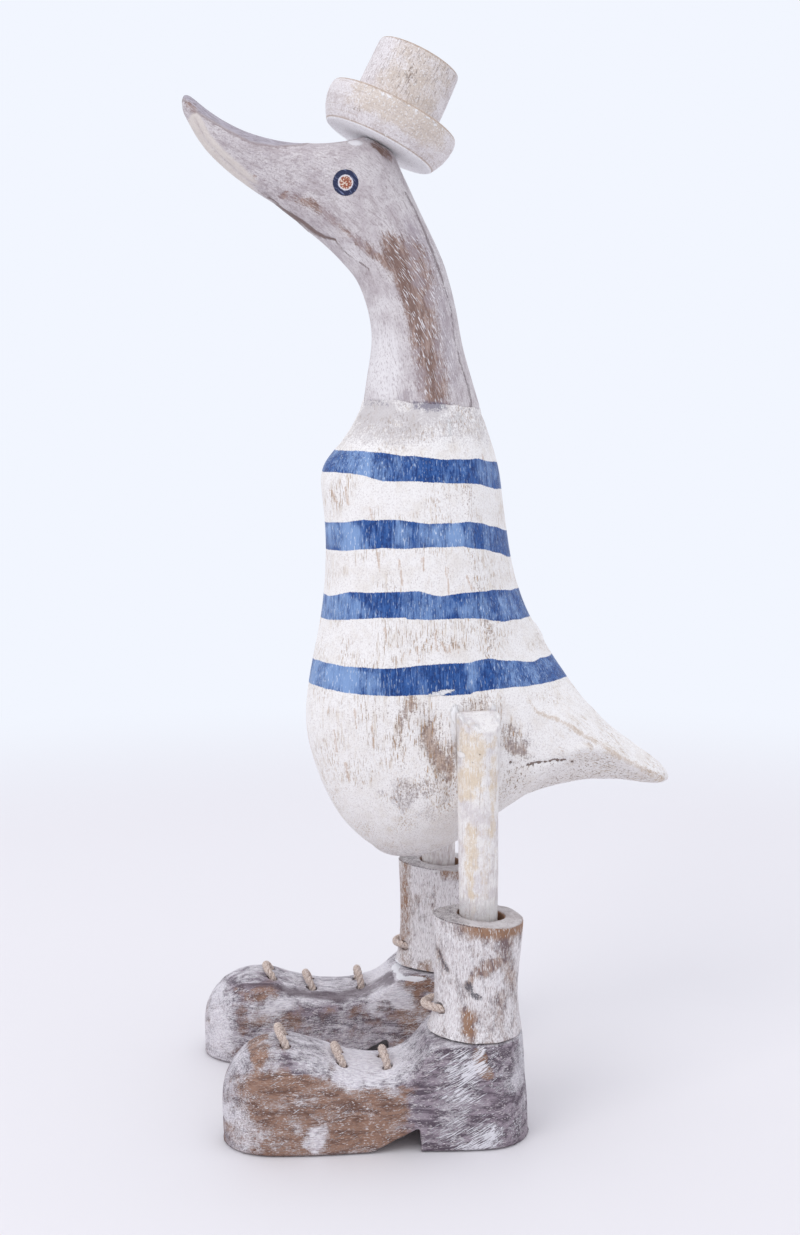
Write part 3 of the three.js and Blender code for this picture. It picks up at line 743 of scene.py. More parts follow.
# %% Head finish
def head_finish():
    f = Finish("grey_lime_wash")
    fibre, streak = f.noise(0.5, 3, 0.65, along=9), f.noise(1.4, 4, 0.7, along=7, twist=0.4)
    cloud, dab, dust = f.noise(8, 4, 0.65), f.noise(1.5, 3, 0.7), f.noise(0.6, 3, 0.8)
    ragged = (dust - 0.5) * 1.2 + (fibre - 0.5) * 1.8 + (dab - 0.5) * 0.8

    def across(length, size, detail):
        """Noise in long marks that cross the grain at a slant."""
        return f.texture(f.vector("MULTIPLY", f.kept("scratch", 1), (1 / length, 1, 1)), size, detail)

    # Grey of dirt, and of painted shade down the back of the neck.
    dirt_and_shade = f.soft(f.kept("grime") + ragged * 0.8, 0.3, 1.2)
    strip = f.soft(f.kept("top_strip") + (streak - 0.5) * 2.0 + (dust - 0.5), -0.3, 1.3)
    ridge_mark = f.soft(f.kept("top_strip") + ragged * 1.1, -1.0, 0.0) * (1 - strip)
    worn = f.soft(f.kept("bare") + ragged * 0.9, 0.4, 1.0)
    scratch = f.soft(across(9, 2.7, 1.0), 0.575, 0.66) * f.kept("scratched")
    edge = f.soft(f.kept("back_edge") + ragged * 0.9, 0.5, 0.95)
    cut = f.kept("mouth") * (0.3 + 0.7 * f.kept("mouth_back"))
    cut = f.soft(cut + (streak - 0.5) * 1.2 + (dust - 0.5) * 0.8, 0.35, 0.85)
    white = f.soft(f.kept("filler") + (dust - 0.5) * 1.2 + (dab - 0.5), 0.4, 0.7)
    # Painted shade along the neck seam, with smudges.
    shadow = f.soft(f.kept("seam") + (dab - 0.5) * 1.3 + (dust - 0.5) * 1.2, 0.6, 1.05)
    white_seam = f.soft(f.kept("seam") + (f.noise(2.2, 3) - 0.5) * 3, 1.1, 1.4)

    strip_wood = f.mix((166, 159, 170), (132, 122, 130), f.soft(fibre, 0.45, 0.62))
    wood = f.layers(
        (168, 142, 132),
        ((116, 86, 74), f.soft(fibre * 0.4 + streak * 0.6 + f.kept("core") * 0.09, 0.42, 0.62)),
        ((158, 144, 150), f.soft(cloud - f.kept("core") * 0.2, 0.42, 0.6) * 0.65))
    off_centre = f.kept("eye") + (dust - 0.5) * 0.7
    in_eye = 1 - f.soft(off_centre, 4.5, 4.65)
    pupil = f.mix((150, 80, 56), (222, 200, 184), f.soft(f.noise(0.55, 1), 0.5, 0.58))
    eye = f.layers(
        (28, 36, 72),
        ((104, 112, 146), f.spots(0.45, 0.6, along=6)),
        ((218, 212, 218), 1 - f.soft(off_centre, 2.6, 2.85)),
        (pupil, 1 - f.soft(off_centre, 2.1, 2.4)))
    colour = f.layers(
        (212, 205, 206),
        ((190, 180, 183), f.soft(cloud, 0.4, 0.68)),
        ((158, 144, 146), f.soft(streak + f.kept("grime") * 0.1, 0.53, 0.7) * 0.6),
        ((150, 134, 136), f.soft(dust, 0.52, 0.64) * 0.55),
        ((236, 232, 233), f.soft(f.kept("pale") + ragged * 0.7, 0.1, 1.2) * 0.75),
        ((148, 132, 136), f.soft(across(7, 1.9, 2.0), 0.54, 0.68) * 0.45),
        ((118, 98, 96), f.spots(0.5, 0.63, along=3.5) * 0.35),
        ((156, 144, 154), dirt_and_shade * 0.65),
        (strip_wood, strip * 0.85),
        ((130, 112, 112), ridge_mark * 0.65),
        (wood, worn * 0.92),
        ((228, 222, 225), scratch * 0.9),
        ((222, 212, 203), f.soft(f.kept("lip") + ragged * 0.3, 0.3, 0.9) * 0.7),
        ((104, 86, 88), edge * 0.65),
        ((104, 78, 70), cut * 0.85),
        ((238, 236, 238), white * 0.85),
        ((108, 102, 122), shadow * 0.75),
        ((232, 230, 233), white_seam * 0.6),
        (eye, in_eye))
    roughness = 0.64 - in_eye * 0.26 + worn * 0.05 + (dust - 0.5) * 0.2
    relief = fibre * 0.8 + dust * 0.3 - cut * 0.8 - worn * 0.4
    relief = relief - edge * 0.6 + in_eye * 0.5 + scratch * 0.3 + white * 0.4
    return f.coat(colour, roughness, f.bump(relief, 0.35), 0.4)


hand_over(head, head_finish(), "head")

# %% [markdown]
# ## The turned hat
# A lathe cut the hat, so its shape is one outline swept round an axis. Geometry Nodes do just that: a
# flat grid is bent into a tube whose radius and height are read from a drawn outline, with a small
# waver, because the blank wasn't held quite true. Its inputs stay open to change.

# %% Trees with open inputs
def open_inputs(tree, rows):
    """Adds the named inputs of a tree, and its geometry in and out."""
    tree.interface.new_socket("Outline", in_out="INPUT", socket_type="NodeSocketGeometry")
    tree.interface.new_socket("Shape", in_out="OUTPUT", socket_type="NodeSocketGeometry")
    for name, kind, value in rows:
        socket = tree.interface.new_socket(name, in_out="INPUT", socket_type="NodeSocket" + kind)
        if value is not None:
            socket.default_value = value
    bench = Bench(tree)
    entry = tree.nodes.new("NodeGroupInput")
    return bench, {socket.name: Wire(bench, socket) for socket in entry.outputs if socket.name}


def close_tree(bench, shape, material):
    """Every tree ends the same way: real geometry, then its material."""
    real = bench.node("GeometryNodeRealizeInstances", None, {0: shape})
    dressed = bench.node("GeometryNodeSetMaterial", None, {"Geometry": real, "Material": material})
    exit_node = bench.tree.nodes.new("NodeGroupOutput")
    bench.tree.links.new(dressed.socket, exit_node.inputs[0])
    print(bench.tree.name, len(bench.tree.nodes), "nodes")
    return bench.tree


def grow(name, base, tree, values):
    """Runs a tree on an object and returns the result as a plain mesh object."""
    base.modifiers.new("grow", "NODES").node_group = tree
    for item in tree.interface.items_tree:
        if item.item_type == "SOCKET" and item.in_out == "INPUT" and item.name in values:
            base.modifiers["grow"][item.identifier] = values[item.name]
    return settled(base, name)


def drawn_curve(name, points, smooth_path=False):
    """A curve object through points in metres."""
    curve = bpy.data.curves.new(name, "CURVE")
    curve.dimensions = "3D"
    spline = curve.splines.new("BEZIER" if smooth_path else "POLY")
    if smooth_path:
        spline.bezier_points.add(len(points) - 1)
        for knot, point in zip(spline.bezier_points, points):
            knot.co = point
            knot.handle_left_type = knot.handle_right_type = "AUTO"
    else:
        spline.points.add(len(points) - 1)
        for knot, point in zip(spline.points, points):
            knot.co = (*point, 1)
    base = bpy.data.objects.new(name, curve)
    bpy.context.collection.objects.link(base)
    return base


# %% Turned shape from an outline
hat_radius, lathe_ripple = 0.025, 5200


def turned_tree():
    """Sweeps an outline round the axis, with a slow waver and the fine ripple a lathe tool leaves."""
    tree = bpy.data.node_groups.new("turned", "GeometryNodeTree")
    b, given = open_inputs(tree, [
        ("Steps", "Int", 150), ("Sides", "Int", 180), ("Waver", "Float", 0.0002), ("Seed", "Int", 3),
        ("Wash", "Material", None)])
    grid = b.node("GeometryNodeMeshGrid", None, {
        "Size X": 1.0, "Size Y": 1.0, "Vertices X": given["Steps"], "Vertices Y": given["Sides"]})
    across = b.node("ShaderNodeSeparateXYZ", None, {0: b.node("GeometryNodeInputPosition")})
    turn_angle = (across.sibling("Y") + 0.5) * (2 * math.pi)
    sample = b.node("GeometryNodeSampleCurve", {"mode": "FACTOR"}, {
        "Curves": given["Outline"], "Factor": across + 0.5})
    radius = b.node("ShaderNodeSeparateXYZ", None, {0: sample.sibling("Position")})
    rise = radius.sibling("Z")
    east, north = b.math("COSINE", turn_angle), b.math("SINE", turn_angle)
    spot = b.node("ShaderNodeCombineXYZ", None, {
        "X": east, "Y": north, "Z": rise * (1 / hat_radius) + given["Seed"]})
    waver = (b.texture(spot, 1.3) - 0.5) * 3 + b.math("SINE", rise * lathe_ripple) * 0.12
    true_radius = radius + (radius * (1 / hat_radius)) * given["Waver"] * waver
    swept = b.node("ShaderNodeCombineXYZ", None, {
        "X": true_radius * east, "Y": true_radius * north, "Z": rise})
    shape = b.node("GeometryNodeSetPosition", None, {"Geometry": grid, "Position": swept})
    welded = b.node("GeometryNodeMergeByDistance", None, {"Geometry": shape, "Distance": 0.00002})
    return close_tree(b, welded, given["Wash"])


turned = turned_tree()

# %% [markdown]
# ### The hat's finish
# Fine rings run round the brim and scratches stand upright on the crown. The brim's underside kept the
# whitest wash, and is painted near white as well, as painted light from the floor. Knots and the worn
# edges are darker.

# %% Hat finish
def hat_finish():
    f = Finish("cream_wash_on_turned_wood")
    brim = f.kept("brim")
    rings = f.texture(f.vector("MULTIPLY", f.grain, (0.10, 1.5, 1)), 1.3, 3.0, 0.7)
    upright = f.texture(f.vector("MULTIPLY", f.grain, (1.5, 0.2, 1.5)), 1.2, 3.0, 0.65)
    cloud, dab, dust = f.noise(6, 4, 0.7), f.noise(1.6, 3, 0.7), f.noise(0.6, 3, 0.8)
    ragged = (dust - 0.5) * 1.4 + (upright - 0.5) * 1.0 + (dab - 0.5) * 0.8
    warm = f.soft(f.kept("warm") + (cloud - 0.5) * 1.8 + ragged * 0.6, 0.3, 1.1)
    scratches = f.soft(upright, 0.56, 0.68) * (1 - brim * 0.75)
    dark = f.soft(f.kept("knot") + ragged * 1.2, 0.55, 0.95)
    edge = f.soft(f.kept("edge") + (dust - 0.5) * 1.4, 0.4, 0.9)
    dabs = f.soft(f.kept("dabs") + (f.noise(1.6, 1) - 0.5) * 4, 1.0, 1.25)
    # The brim's underside: the whitest wash, made near white as painted light from the floor on a face in
    # shade.
    white_and_lit_underside = f.mix((252, 251, 253), (176, 164, 164), f.soft(dab * 0.4 + dust * 0.6, 0.52, 0.62) * 0.6)
    colour = f.layers(
        (226, 219, 220),
        ((204, 194, 194), f.soft(cloud, 0.42, 0.66)),
        ((214, 198, 181), warm * 0.68),
        ((184, 167, 156), f.soft(rings, 0.53, 0.66) * brim * 0.5),
        ((166, 148, 140), scratches * 0.6),
        ((172, 158, 156), f.soft(dust, 0.51, 0.63) * 0.6),
        ((238, 234, 234), f.spots(0.7, 0.58) * 0.6),
        ((140, 112, 92), dark * 0.7),
        ((166, 140, 120), edge * 0.7),
        ((242, 240, 241), dabs * 0.8),
        (white_and_lit_underside, f.kept("under") * 0.9))
    relief = upright * 0.5 + rings * brim * 0.5 + dust * 0.4 - dark * 0.5 + dabs * 0.4 - scratches * 0.4
    return f.coat(colour, 0.66 + (dust - 0.5) * 0.2, f.bump(relief, 0.35), 0.4)


# %% Hat
hat_outline = [(0, 0), (20.8, 0), (21.4, 0.4), (22.6, 2.4), (23.9, 5), (24.8, 8), (25.1, 10.8), (24.8, 13),
               (24.3, 13.8), (23.8, 14.05), (16.3, 14.4), (16.2, 15), (16.2, 20), (16.0, 29), (15.8, 33.8),
               (15.5, 34.6), (14.9, 35), (0, 35)]
hat_curve = drawn_curve("hat_outline", [(out / 1000, 0, up / 1000) for out, up in hat_outline])
hat_material = hat_finish()
hat = grow("turned_hat", hat_curve, turned, {
    "Steps": 170, "Sides": 190, "Waver": 0.00016, "Wash": hat_material})
blank = points_of(hat)
out, around, up = np.hypot(blank[:, 0], blank[:, 1]), np.arctan2(blank[:, 1], blank[:, 0]), blank[:, 2]
brim = (up < 14.3) | (out > 16.6)
facing = smooth(np.cos(around - 0.1), 0.2, 1.0)
worn_edges = ((0.5, 19.5), (13.6, 22.8), (34.5, 13.5))
edges = [bell(up, 0.5, edge_up) * (out > inside) for edge_up, inside in worn_edges]
crown_knot = 0.75 * bell(around, 0.17, -0.06) * bell(up, 5.0, 23.5)
brim_knot = 0.5 * bell(around, 0.14, -0.6) * bell(up, 2.0, 4)
keep(hat, grain=np.stack([around * 22, up, out], axis=1), brim=brim.astype(float),
     warm=np.where(brim, facing * (0.2 + smooth(up, 1, 8)), 0.9 * facing),
     knot=crown_knot + brim_knot, edge=np.max(edges, axis=0),
     dabs=bell(up, 0.9, 12.6) * (out > 23) * facing,
     under=((up < 0.3) & (out < 21.3)).astype(float))

lean_back, lean_side, hat_foot = math.radians(-25.6), math.radians(3), (0, -0.0216, 0.3601)
tilt = Matrix.Rotation(lean_back, 4, "X") @ Matrix.Rotation(lean_side, 4, "Y")
hat.data.transform(Matrix.Translation(hat_foot) @ tilt)
hand_over(hat, hat_material, "hat")

# %% [markdown]
# ## Legs
# Two sticks, tapered a little, cut off obliquely on top and let into grooves in the flanks. Their grain
# is long and straight. White filler was pressed into nail holes and round the tops. The oblique cut is
# made here by pushing every point that stands over a tilted plane down onto it.

# %% Leg finish
def leg_finish():
    f = Finish("thin_wash_on_straight_grain")
    fibre, streak = f.noise(0.42, 3, 0.65, along=10), f.noise(1.2, 3, 0.6, along=9)
    cloud, dab, dust = f.noise(6, 4, 0.65), f.noise(1.5, 3, 0.7), f.noise(0.55, 3, 0.8)
    low = f.kept("low")
    ragged = (dust - 0.5) * 1.4 + (fibre - 0.5) * 1.0 + (dab - 0.5) * 0.8
    warm = f.soft(f.kept("warm") + (cloud - 0.5) * 1.2 + ragged * 0.8, 0.3, 1.1)
    white = f.soft(f.kept("filler") + (dust - 0.5) * 1.2 + (dab - 0.5) * 0.8, 0.4, 0.8)
    colour = f.layers(
        (238, 233, 230),
        ((216, 208, 208), f.soft(cloud + low * 0.06, 0.42, 0.66)),
        ((222, 202, 174), warm * 0.8),
        ((180, 166, 164), f.soft(streak + low * 0.06, 0.55, 0.7) * 0.4),
        ((168, 140, 116), f.soft(fibre + low * 0.04, 0.6, 0.72) * 0.55),
        ((243, 241, 241), f.spots(0.5, 0.6, along=6) * 0.6),
        ((194, 184, 180), f.soft(dust, 0.52, 0.64) * 0.4),
        ((240, 236, 234), white * 0.8),
        ((96, 76, 66), f.soft(f.kept("nail"), 0.5, 0.75) * 0.85))
    relief = fibre * 0.8 + streak * 0.3 + dust * 0.4 - f.kept("nail") * 0.8 + white * 0.4
    return f.coat(colour, 0.66 + (dust - 0.5) * 0.15, f.bump(relief, 0.35), 0.4)


leg_material = leg_finish()

# %% Legs
cut_x, cut_y, cut_z = 46, 9, 149.3
for side_name, shown in (("left", 1.0), ("right", 0.0)):
    leg = fine_copy(f"leg_{side_name}", 0.5, f"leg_stick_{side_name}")
    leg_points = points_of(leg)
    stick_x, stick_y, stick_z = leg_points.T
    outward = np.sign(stick_x.mean())
    cut_facing = np.array([0.547 * outward, 0.10, 0.831])
    over_cut = np.clip((leg_points - (cut_x * outward, cut_y, cut_z)) @ cut_facing, 0, None)
    cut_off = smooth(over_cut, 0.3, 1.5)
    relief = 0.18 * waves(leg_points, 9, 21, (1, 1, 3)) + 0.05 * waves(leg_points, 1.3, 22, (1, 1, 12))
    carve(leg, (1 - cut_off) * relief, -over_cut[:, None] * cut_facing)
    beside = smooth(np.abs(stick_y - 9.5), 4, 7.5) * smooth(stick_z, 118, 140)
    foot_filler = 0.55 * smooth(-stick_z, -94, -85)
    putty = shown * np.maximum(patch(leg_points, 2.7, 141, 1.6, 1.6), foot_filler)
    topping = cut_off * (0.3 + 0.4 * waves(leg_points, 3, 23)) + 0.45 * beside
    keep(leg, grain=leg_points[:, [2, 1, 0]],
         warm=shown * patches(leg_points, [
             (6, 140, 7, 18, 0, 0.95), (6, 98, 2.8, 26, 0, 0.95), (14, 128, 2.4, 26, 0, 0.75),
             (9, 152, 5, 3, 0, -0.3), (11, 100, 2.4, 22, 0, 0.5)]),
         low=(1.6 - 0.8 * shown) * smooth(-stick_z, -130, -88),
         filler=np.maximum(putty, topping),
         nail=shown * patches(leg_points, [(8.6, 141.7, 0.5, 0.5, 0, 1.0), (6.2, 138.7, 0.5, 0.5, 0, 1.0)]))
    hand_over(leg, leg_material, f"leg_{side_name}")

# %% [markdown]
# ## Boots
# Foot and shaft are two blocks glued one on the other, cut with a gouge and stained brown. White was then
# dragged over them with a nearly dry brush, which catches the high places and leaves scratches in the
# brush's direction: upright on the shafts, slanting over the heel, lengthwise on the toe.

# %% Foot finish
def foot_finish():
    f = Finish("brown_stain_dry_brushed")
    fibre, flow = f.noise(0.42, 2, 0.6, along=6), f.noise(2.6, 4, 0.66, along=4, twist=0.7)
    cloud, dust = f.noise(7, 4, 0.65), f.noise(0.5, 3, 0.8)
    slant = f.texture(f.vector("MULTIPLY", f.kept("slant", 1), (1 / 12, 1, 1)), 2.6, 3.0, 0.6)
    haze = f.kept("white") + (cloud - 0.5) * 1.3 + (0.5 - flow) * 1.1 + (fibre - 0.5) * 1.0
    covered = f.soft(haze + (dust - 0.5) * 1.5, 0.15, 1.1)
    strokes = f.soft(slant + f.kept("strokes") * 0.2 + (cloud - 0.5) * 0.25, 0.62, 0.71)
    line = f.soft(f.kept("line") + (flow - 0.5) * 1.2 + (fibre - 0.5) * 1.2, 0.35, 1.05)
    cool = f.mix((152, 138, 148), (86, 73, 84), f.soft(flow, 0.40, 0.60))
    white = f.mix((208, 201, 208), (236, 232, 235), f.soft(fibre, 0.4, 0.6))
    colour = f.layers(
        (150, 116, 98),
        ((104, 74, 62), f.soft(flow, 0.42, 0.64)),
        (cool, f.soft(f.kept("cool") + (cloud - 0.5) * 1.6, 0.3, 0.8)),
        ((74, 58, 60), f.soft(fibre, 0.54, 0.68) * 0.45),
        (white, covered * 0.9),
        ((226, 218, 218), f.spots(0.4, 0.6, along=3) * f.soft(cloud, 0.3, 0.6) * 0.75),
        ((234, 231, 236), strokes * 0.9),
        ((84, 66, 74), line * 0.75),
        ((90, 76, 80), f.soft(f.kept("rim") + (dust - 0.5), 0.5, 0.8) * 0.5),
        ((242, 240, 243), f.soft(f.kept("filled") + (dust - 0.5) * 1.2, 0.4, 0.8) * 0.9))
    relief = fibre * 0.6 + flow * 0.4 + covered * 0.3 + strokes * 0.5 + dust * 0.4 - line * 0.4
    return f.coat(colour, 0.54 + covered * 0.14 + (dust - 0.5) * 0.25, f.bump(relief, 0.4), 0.4)


# %% Shaft finish
def shaft_finish():
    f = Finish("brown_stain_white_dragged")
    fibre, flow = f.noise(0.42, 2, 0.6, along=5), f.noise(2.4, 4, 0.66, along=3.5, twist=0.7)
    cloud, dust = f.noise(6, 4, 0.7), f.noise(0.5, 3, 0.8)
    haze = f.kept("white") + (cloud - 0.5) * 1.7 + (0.5 - flow) * 1.3 + (fibre - 0.5) * 1.0
    covered = f.soft(haze + (dust - 0.5) * 1.5, 0.05, 1.1)
    white = f.mix((216, 209, 211), (238, 234, 235), f.soft(fibre, 0.4, 0.62))
    knot = f.soft(f.kept("knot") + (dust - 0.5) * 2.2 + (fibre - 0.5) * 2.0, 0.5, 1.0)
    rubbed = f.soft(dust * 0.6 + flow * 0.4 + f.kept("worn_top") * 0.12, 0.56, 0.66)
    end_grain = f.layers(
        (206, 200, 200),
        ((180, 171, 170), f.soft(cloud, 0.42, 0.66)),
        ((104, 92, 94), rubbed * 0.75))
    rim = f.soft(f.kept("rim") + (dust - 0.5) * 1.2 + (fibre - 0.5) * 0.8, 0.35, 0.85)
    colour = f.layers(
        (172, 146, 132),
        ((118, 98, 98), f.soft(flow, 0.42, 0.62)),
        ((150, 112, 84), f.soft(f.kept("tan") + (cloud - 0.5) + (flow - 0.5), 0.3, 0.9) * 0.85),
        (white, covered * 0.92),
        ((238, 235, 236), f.spots(0.4, 0.6, along=5) * 0.7),
        ((122, 104, 102), f.spots(0.42, 0.61, along=4) * 0.55),
        ((62, 56, 68), knot * 0.85),
        (end_grain, f.kept("top") * 0.95),
        ((76, 62, 62), rim * 0.9),
        ((242, 240, 243), f.soft(f.kept("filled") + (dust - 0.5) * 1.2, 0.4, 0.8) * 0.9),
        ((152, 114, 88), f.kept("hole") * 0.85))
    relief = fibre * 0.8 + flow * 0.3 + covered * 0.3 + dust * 0.4 - knot * 0.6
    return f.coat(colour, 0.62 + (dust - 0.5) * 0.15, f.bump(relief, 0.4), 0.4)


foot_material, shaft_material = foot_finish(), shaft_finish()

# %% [markdown]
# ### How the boots are cut
# A gouge leaves round hollows that meet in low crests. The boots are turned out by five degrees, so each
# is measured in a frame of its own, with its toe along -Y. The filled seam between foot and shaft shows
# as a white line on the right boot's inner side.

# %% Boot shapes
boot_turn = math.radians(5)
boot_middles = {"left": (42, 9.4), "right": (-38.5, 8.4)}


def gouged(points, size, seed, stretch=(1, 1, 1)):
    """The scallops of a gouge: round hollows that meet in low crests."""
    return -np.abs(waves(points, size, seed, stretch))


def boot_frame(points, side_name):
    """Points with the boot's own toe along -Y and its shaft's middle on the Z axis."""
    x, y = boot_middles[side_name]
    cosine, sine = math.cos(boot_turn), math.sin(boot_turn)
    across, along = points[:, 0] - x, points[:, 1] - y
    return np.stack([across * cosine - along * sine, across * sine + along * cosine, points[:, 2]], axis=1)


# %% [markdown]
# ### Feet
# The brush left each foot different, so each has a table of its own: cool is where the brown turns to
# grey, white is how thick the white lies, strokes are the slanting scratches on the heel, and line is a
# dark groove.

# %% Paint of the feet
gouge_line = [(-82, 28), (-78, 31.5), (-63, 32), (-55, 29), (-44, 27), (-34, 26), (-24, 28), (-13, 34)]


def left_foot_paint(placed, own, upper, toe_tip, heel):
    """The left foot's values: its outer side is seen, and marks of its own lie along it."""
    ragged_strokes = 0.15 + 0.5 * waves(own, 8, 51, (1, 1, 0.8)) + patches(placed, [
        (3, 34, 8, 7, 30, 0.55), (5, 25, 11, 7, 30, 0.5), (8, 5, 9, 8, 30, 0.6), (-14, 30, 9, 6, 30, 0.3),
        (20, 5, 4, 8, 0, 0.3), (23, 28, 7, 12, 0, 0.4)])
    return {
        "cool": 0.12 + 0.95 * heel + 0.6 * upper + 0.5 * toe_tip + patches(placed, [
            (-52, 34, 9, 4, 0, 0.6), (-20, 30, 12, 7, 0, 0.7), (8, 33, 3.5, 9, 15, -0.9),
            (-72, 35, 5, 3, 0, -0.8)]),
        "white": 0.17 + 0.18 * toe_tip + 0.5 * upper - 0.05 * heel + patches(placed, [
            (-77, 8, 9, 9, 0, 0.45), (-52, 8, 6, 8, 0, 0.95), (-79, 20, 6, 15, 0, 0.2),
            (-33, 28, 18, 7, 0, 0.5), (-35, 1, 17, 2.5, 0, 0.35), (-33, 8, 15, 6, 0, -0.3),
            (-72, 35, 5, 3, 0, -0.7), (-62, 34, 3, 3, 0, -0.4), (-58, 28, 16, 4, 0, -0.15),
            (-60, 20, 10, 4, 10, 0.3), (-3, 14, 10, 7, 20, 0.35), (23, 26, 8, 14, 0, 0.7),
            (8, 33, 3, 9, 15, -0.6), (12, 10, 6, 8, 20, -0.3)]),
        "strokes": heel * ragged_strokes,
        "line": 0.6 * patches(placed, [(-62, 34.5, 2.5, 3, 0, 1.0), (-51, 34, 6, 2.5, -20, 0.7)]),
        "filled": np.zeros(len(own)),
    }


def right_foot_paint(placed, own, upper, toe_tip, heel):
    """The right foot's values: its inner side is seen, with a dark groove along the upper."""
    gouge = line_distance(placed, gouge_line)
    return {
        "cool": 0.7 + 0.3 * upper + patches(placed, [
            (-68, 29, 12, 3, 0, -0.5), (-3, 32, 7, 4, 0, -0.9), (-5, 20, 8, 7, 0, -0.4),
            (-62, 18, 12, 5, 0, -0.3)]),
        "white": 0.46 + 0.3 * toe_tip + 0.3 * upper + patches(placed, [
            (-62, 24.5, 13, 4, 5, 0.5), (-15, 28, 10, 7, 0, 0.85), (-48, 22, 14, 3, 0, -0.4),
            (-83, 14, 5, 12, 0, 0.4), (-70, 30, 13, 4, 0, -0.75), (-3, 32, 7, 4, 0, -0.6),
            (-4, 20, 8, 7, 0, -0.1)]),
        "strokes": 0.2 * heel,
        "line": 1.1 * bell(gouge, 1.3) * smooth(placed[:, 0], -42, -32),
        "filled": smooth(own[:, 0], -3, 4) * patches(placed, [(-7, 35.2, 7, 1.2, -3, 1.4)]),
    }


# %% Feet
up_the_heel = math.radians(30)
for side_name, seed, foot_paint in (("left", 32, left_foot_paint), ("right", 30, right_foot_paint)):
    foot = fine_copy(f"boot_{side_name}_foot", 0.6, f"boot_{side_name}_foot_carved")
    placed, face = points_of(foot), normals_of(foot)
    own = boot_frame(placed, side_name)
    own_x, own_y, own_z = own.T
    upper = smooth(face[:, 2], 0.3, 0.8)
    toe_tip, heel = smooth(-own_y, 80, 90), 1 - smooth(-own_y, 18, 34)
    paint = foot_paint(placed, own, upper, toe_tip, heel)
    scallops = 0.55 * gouged(own, 12, seed, (0.8, 1.5, 0.9)) + 0.08 * waves(own, 1.4, 33, (1, 6, 1))
    if side_name == "right":
        wall = 1 - smooth(face[:, 2], 0.35, 0.8)
        scallops = scallops - 0.5 * bell(line_distance(placed, gouge_line), 1.6) * wall
    grounded = smooth(own_z, 0.2, 1.5)
    carve(foot, grounded * scallops)
    cosine, sine = math.cos(up_the_heel), math.sin(up_the_heel)
    along_stroke = own_y * cosine + own_z * sine
    over_stroke = own_z * cosine - own_y * sine
    keep(foot, grain=own[:, [1, 2, 0]], slant=np.stack([along_stroke, over_stroke, own_x], axis=1),
         rim=bell(own_z, 0.7, 0.4), **paint)
    hand_over(foot, foot_material, f"boot_{side_name}_foot")

# %% [markdown]
# ### Shafts
# The shafts are scalloped upright. Their rims are worn to tan wood and edged with dark stain, and the
# bored hole shows raw wood. The left one has a knot and a short furrow on the side that is seen.

# %% Paint of the shafts
def left_shaft_paint(placed, own, under_rim, seen):
    """The left shaft's values: tan wood, white paint, knot and filler."""
    worn_rim = under_rim * smooth(own[:, 1], -13, -2)
    furrow = seen * bell(line_distance(placed, [(-9.5, 74), (-6, 69), (-4, 64)]), 1.2)
    knots = patch(placed, 3.4, 59.6, 2.1, 2.9, 15) + 0.9 * patch(placed, 6.2, 56.2, 3.2, 1.7, -20)
    return furrow, {
        "tan": worn_rim + patches(placed, [(3, 47, 2.5, 7, 0, 0.9), (8, 66, 5, 4, 30, 0.4)]),
        "white": 0.9 - 1.15 * worn_rim - 0.4 * furrow + patches(placed, [
            (3, 46, 3.5, 9, 0, -0.95), (8, 66, 7, 4, 30, -0.6), (4, 61, 2.5, 6, 0, -0.4),
            (18, 66, 4, 10, 20, -0.5), (15, 52, 2.5, 10, 0, -0.5), (13, 63, 7, 3, 35, 0.35),
            (-4, 45, 6, 8, 0, 0.3), (10, 38, 13, 3, 0, -0.7)]),
        "knot": np.maximum(0.8 * furrow, seen * knots),
        "filled": np.zeros(len(own)),
    }


def right_shaft_paint(placed, own, under_rim, seen):
    """The right shaft's values: its front edge is worn, and filler shows at its foot."""
    worn_rim, front_edge = under_rim * smooth(own[:, 1], -6, 2), bell(own[:, 1], 3.2, -15)
    return np.zeros(len(own)), {
        "tan": front_edge + worn_rim + patches(placed, [(0, 38, 5, 5, 0, 0.8)]),
        "white": 1.4 - 0.95 * front_edge - 1.0 * worn_rim + patches(placed, [
            (0, 38, 5, 4, 0, -0.9), (2, 66, 5, 11, 0, -0.5), (-4, 60, 3, 10, 0, -0.3)]),
        "knot": np.zeros(len(own)),
        "filled": seen * patches(placed, [(-7, 36.8, 7, 1.2, -3, 1.4)]),
    }


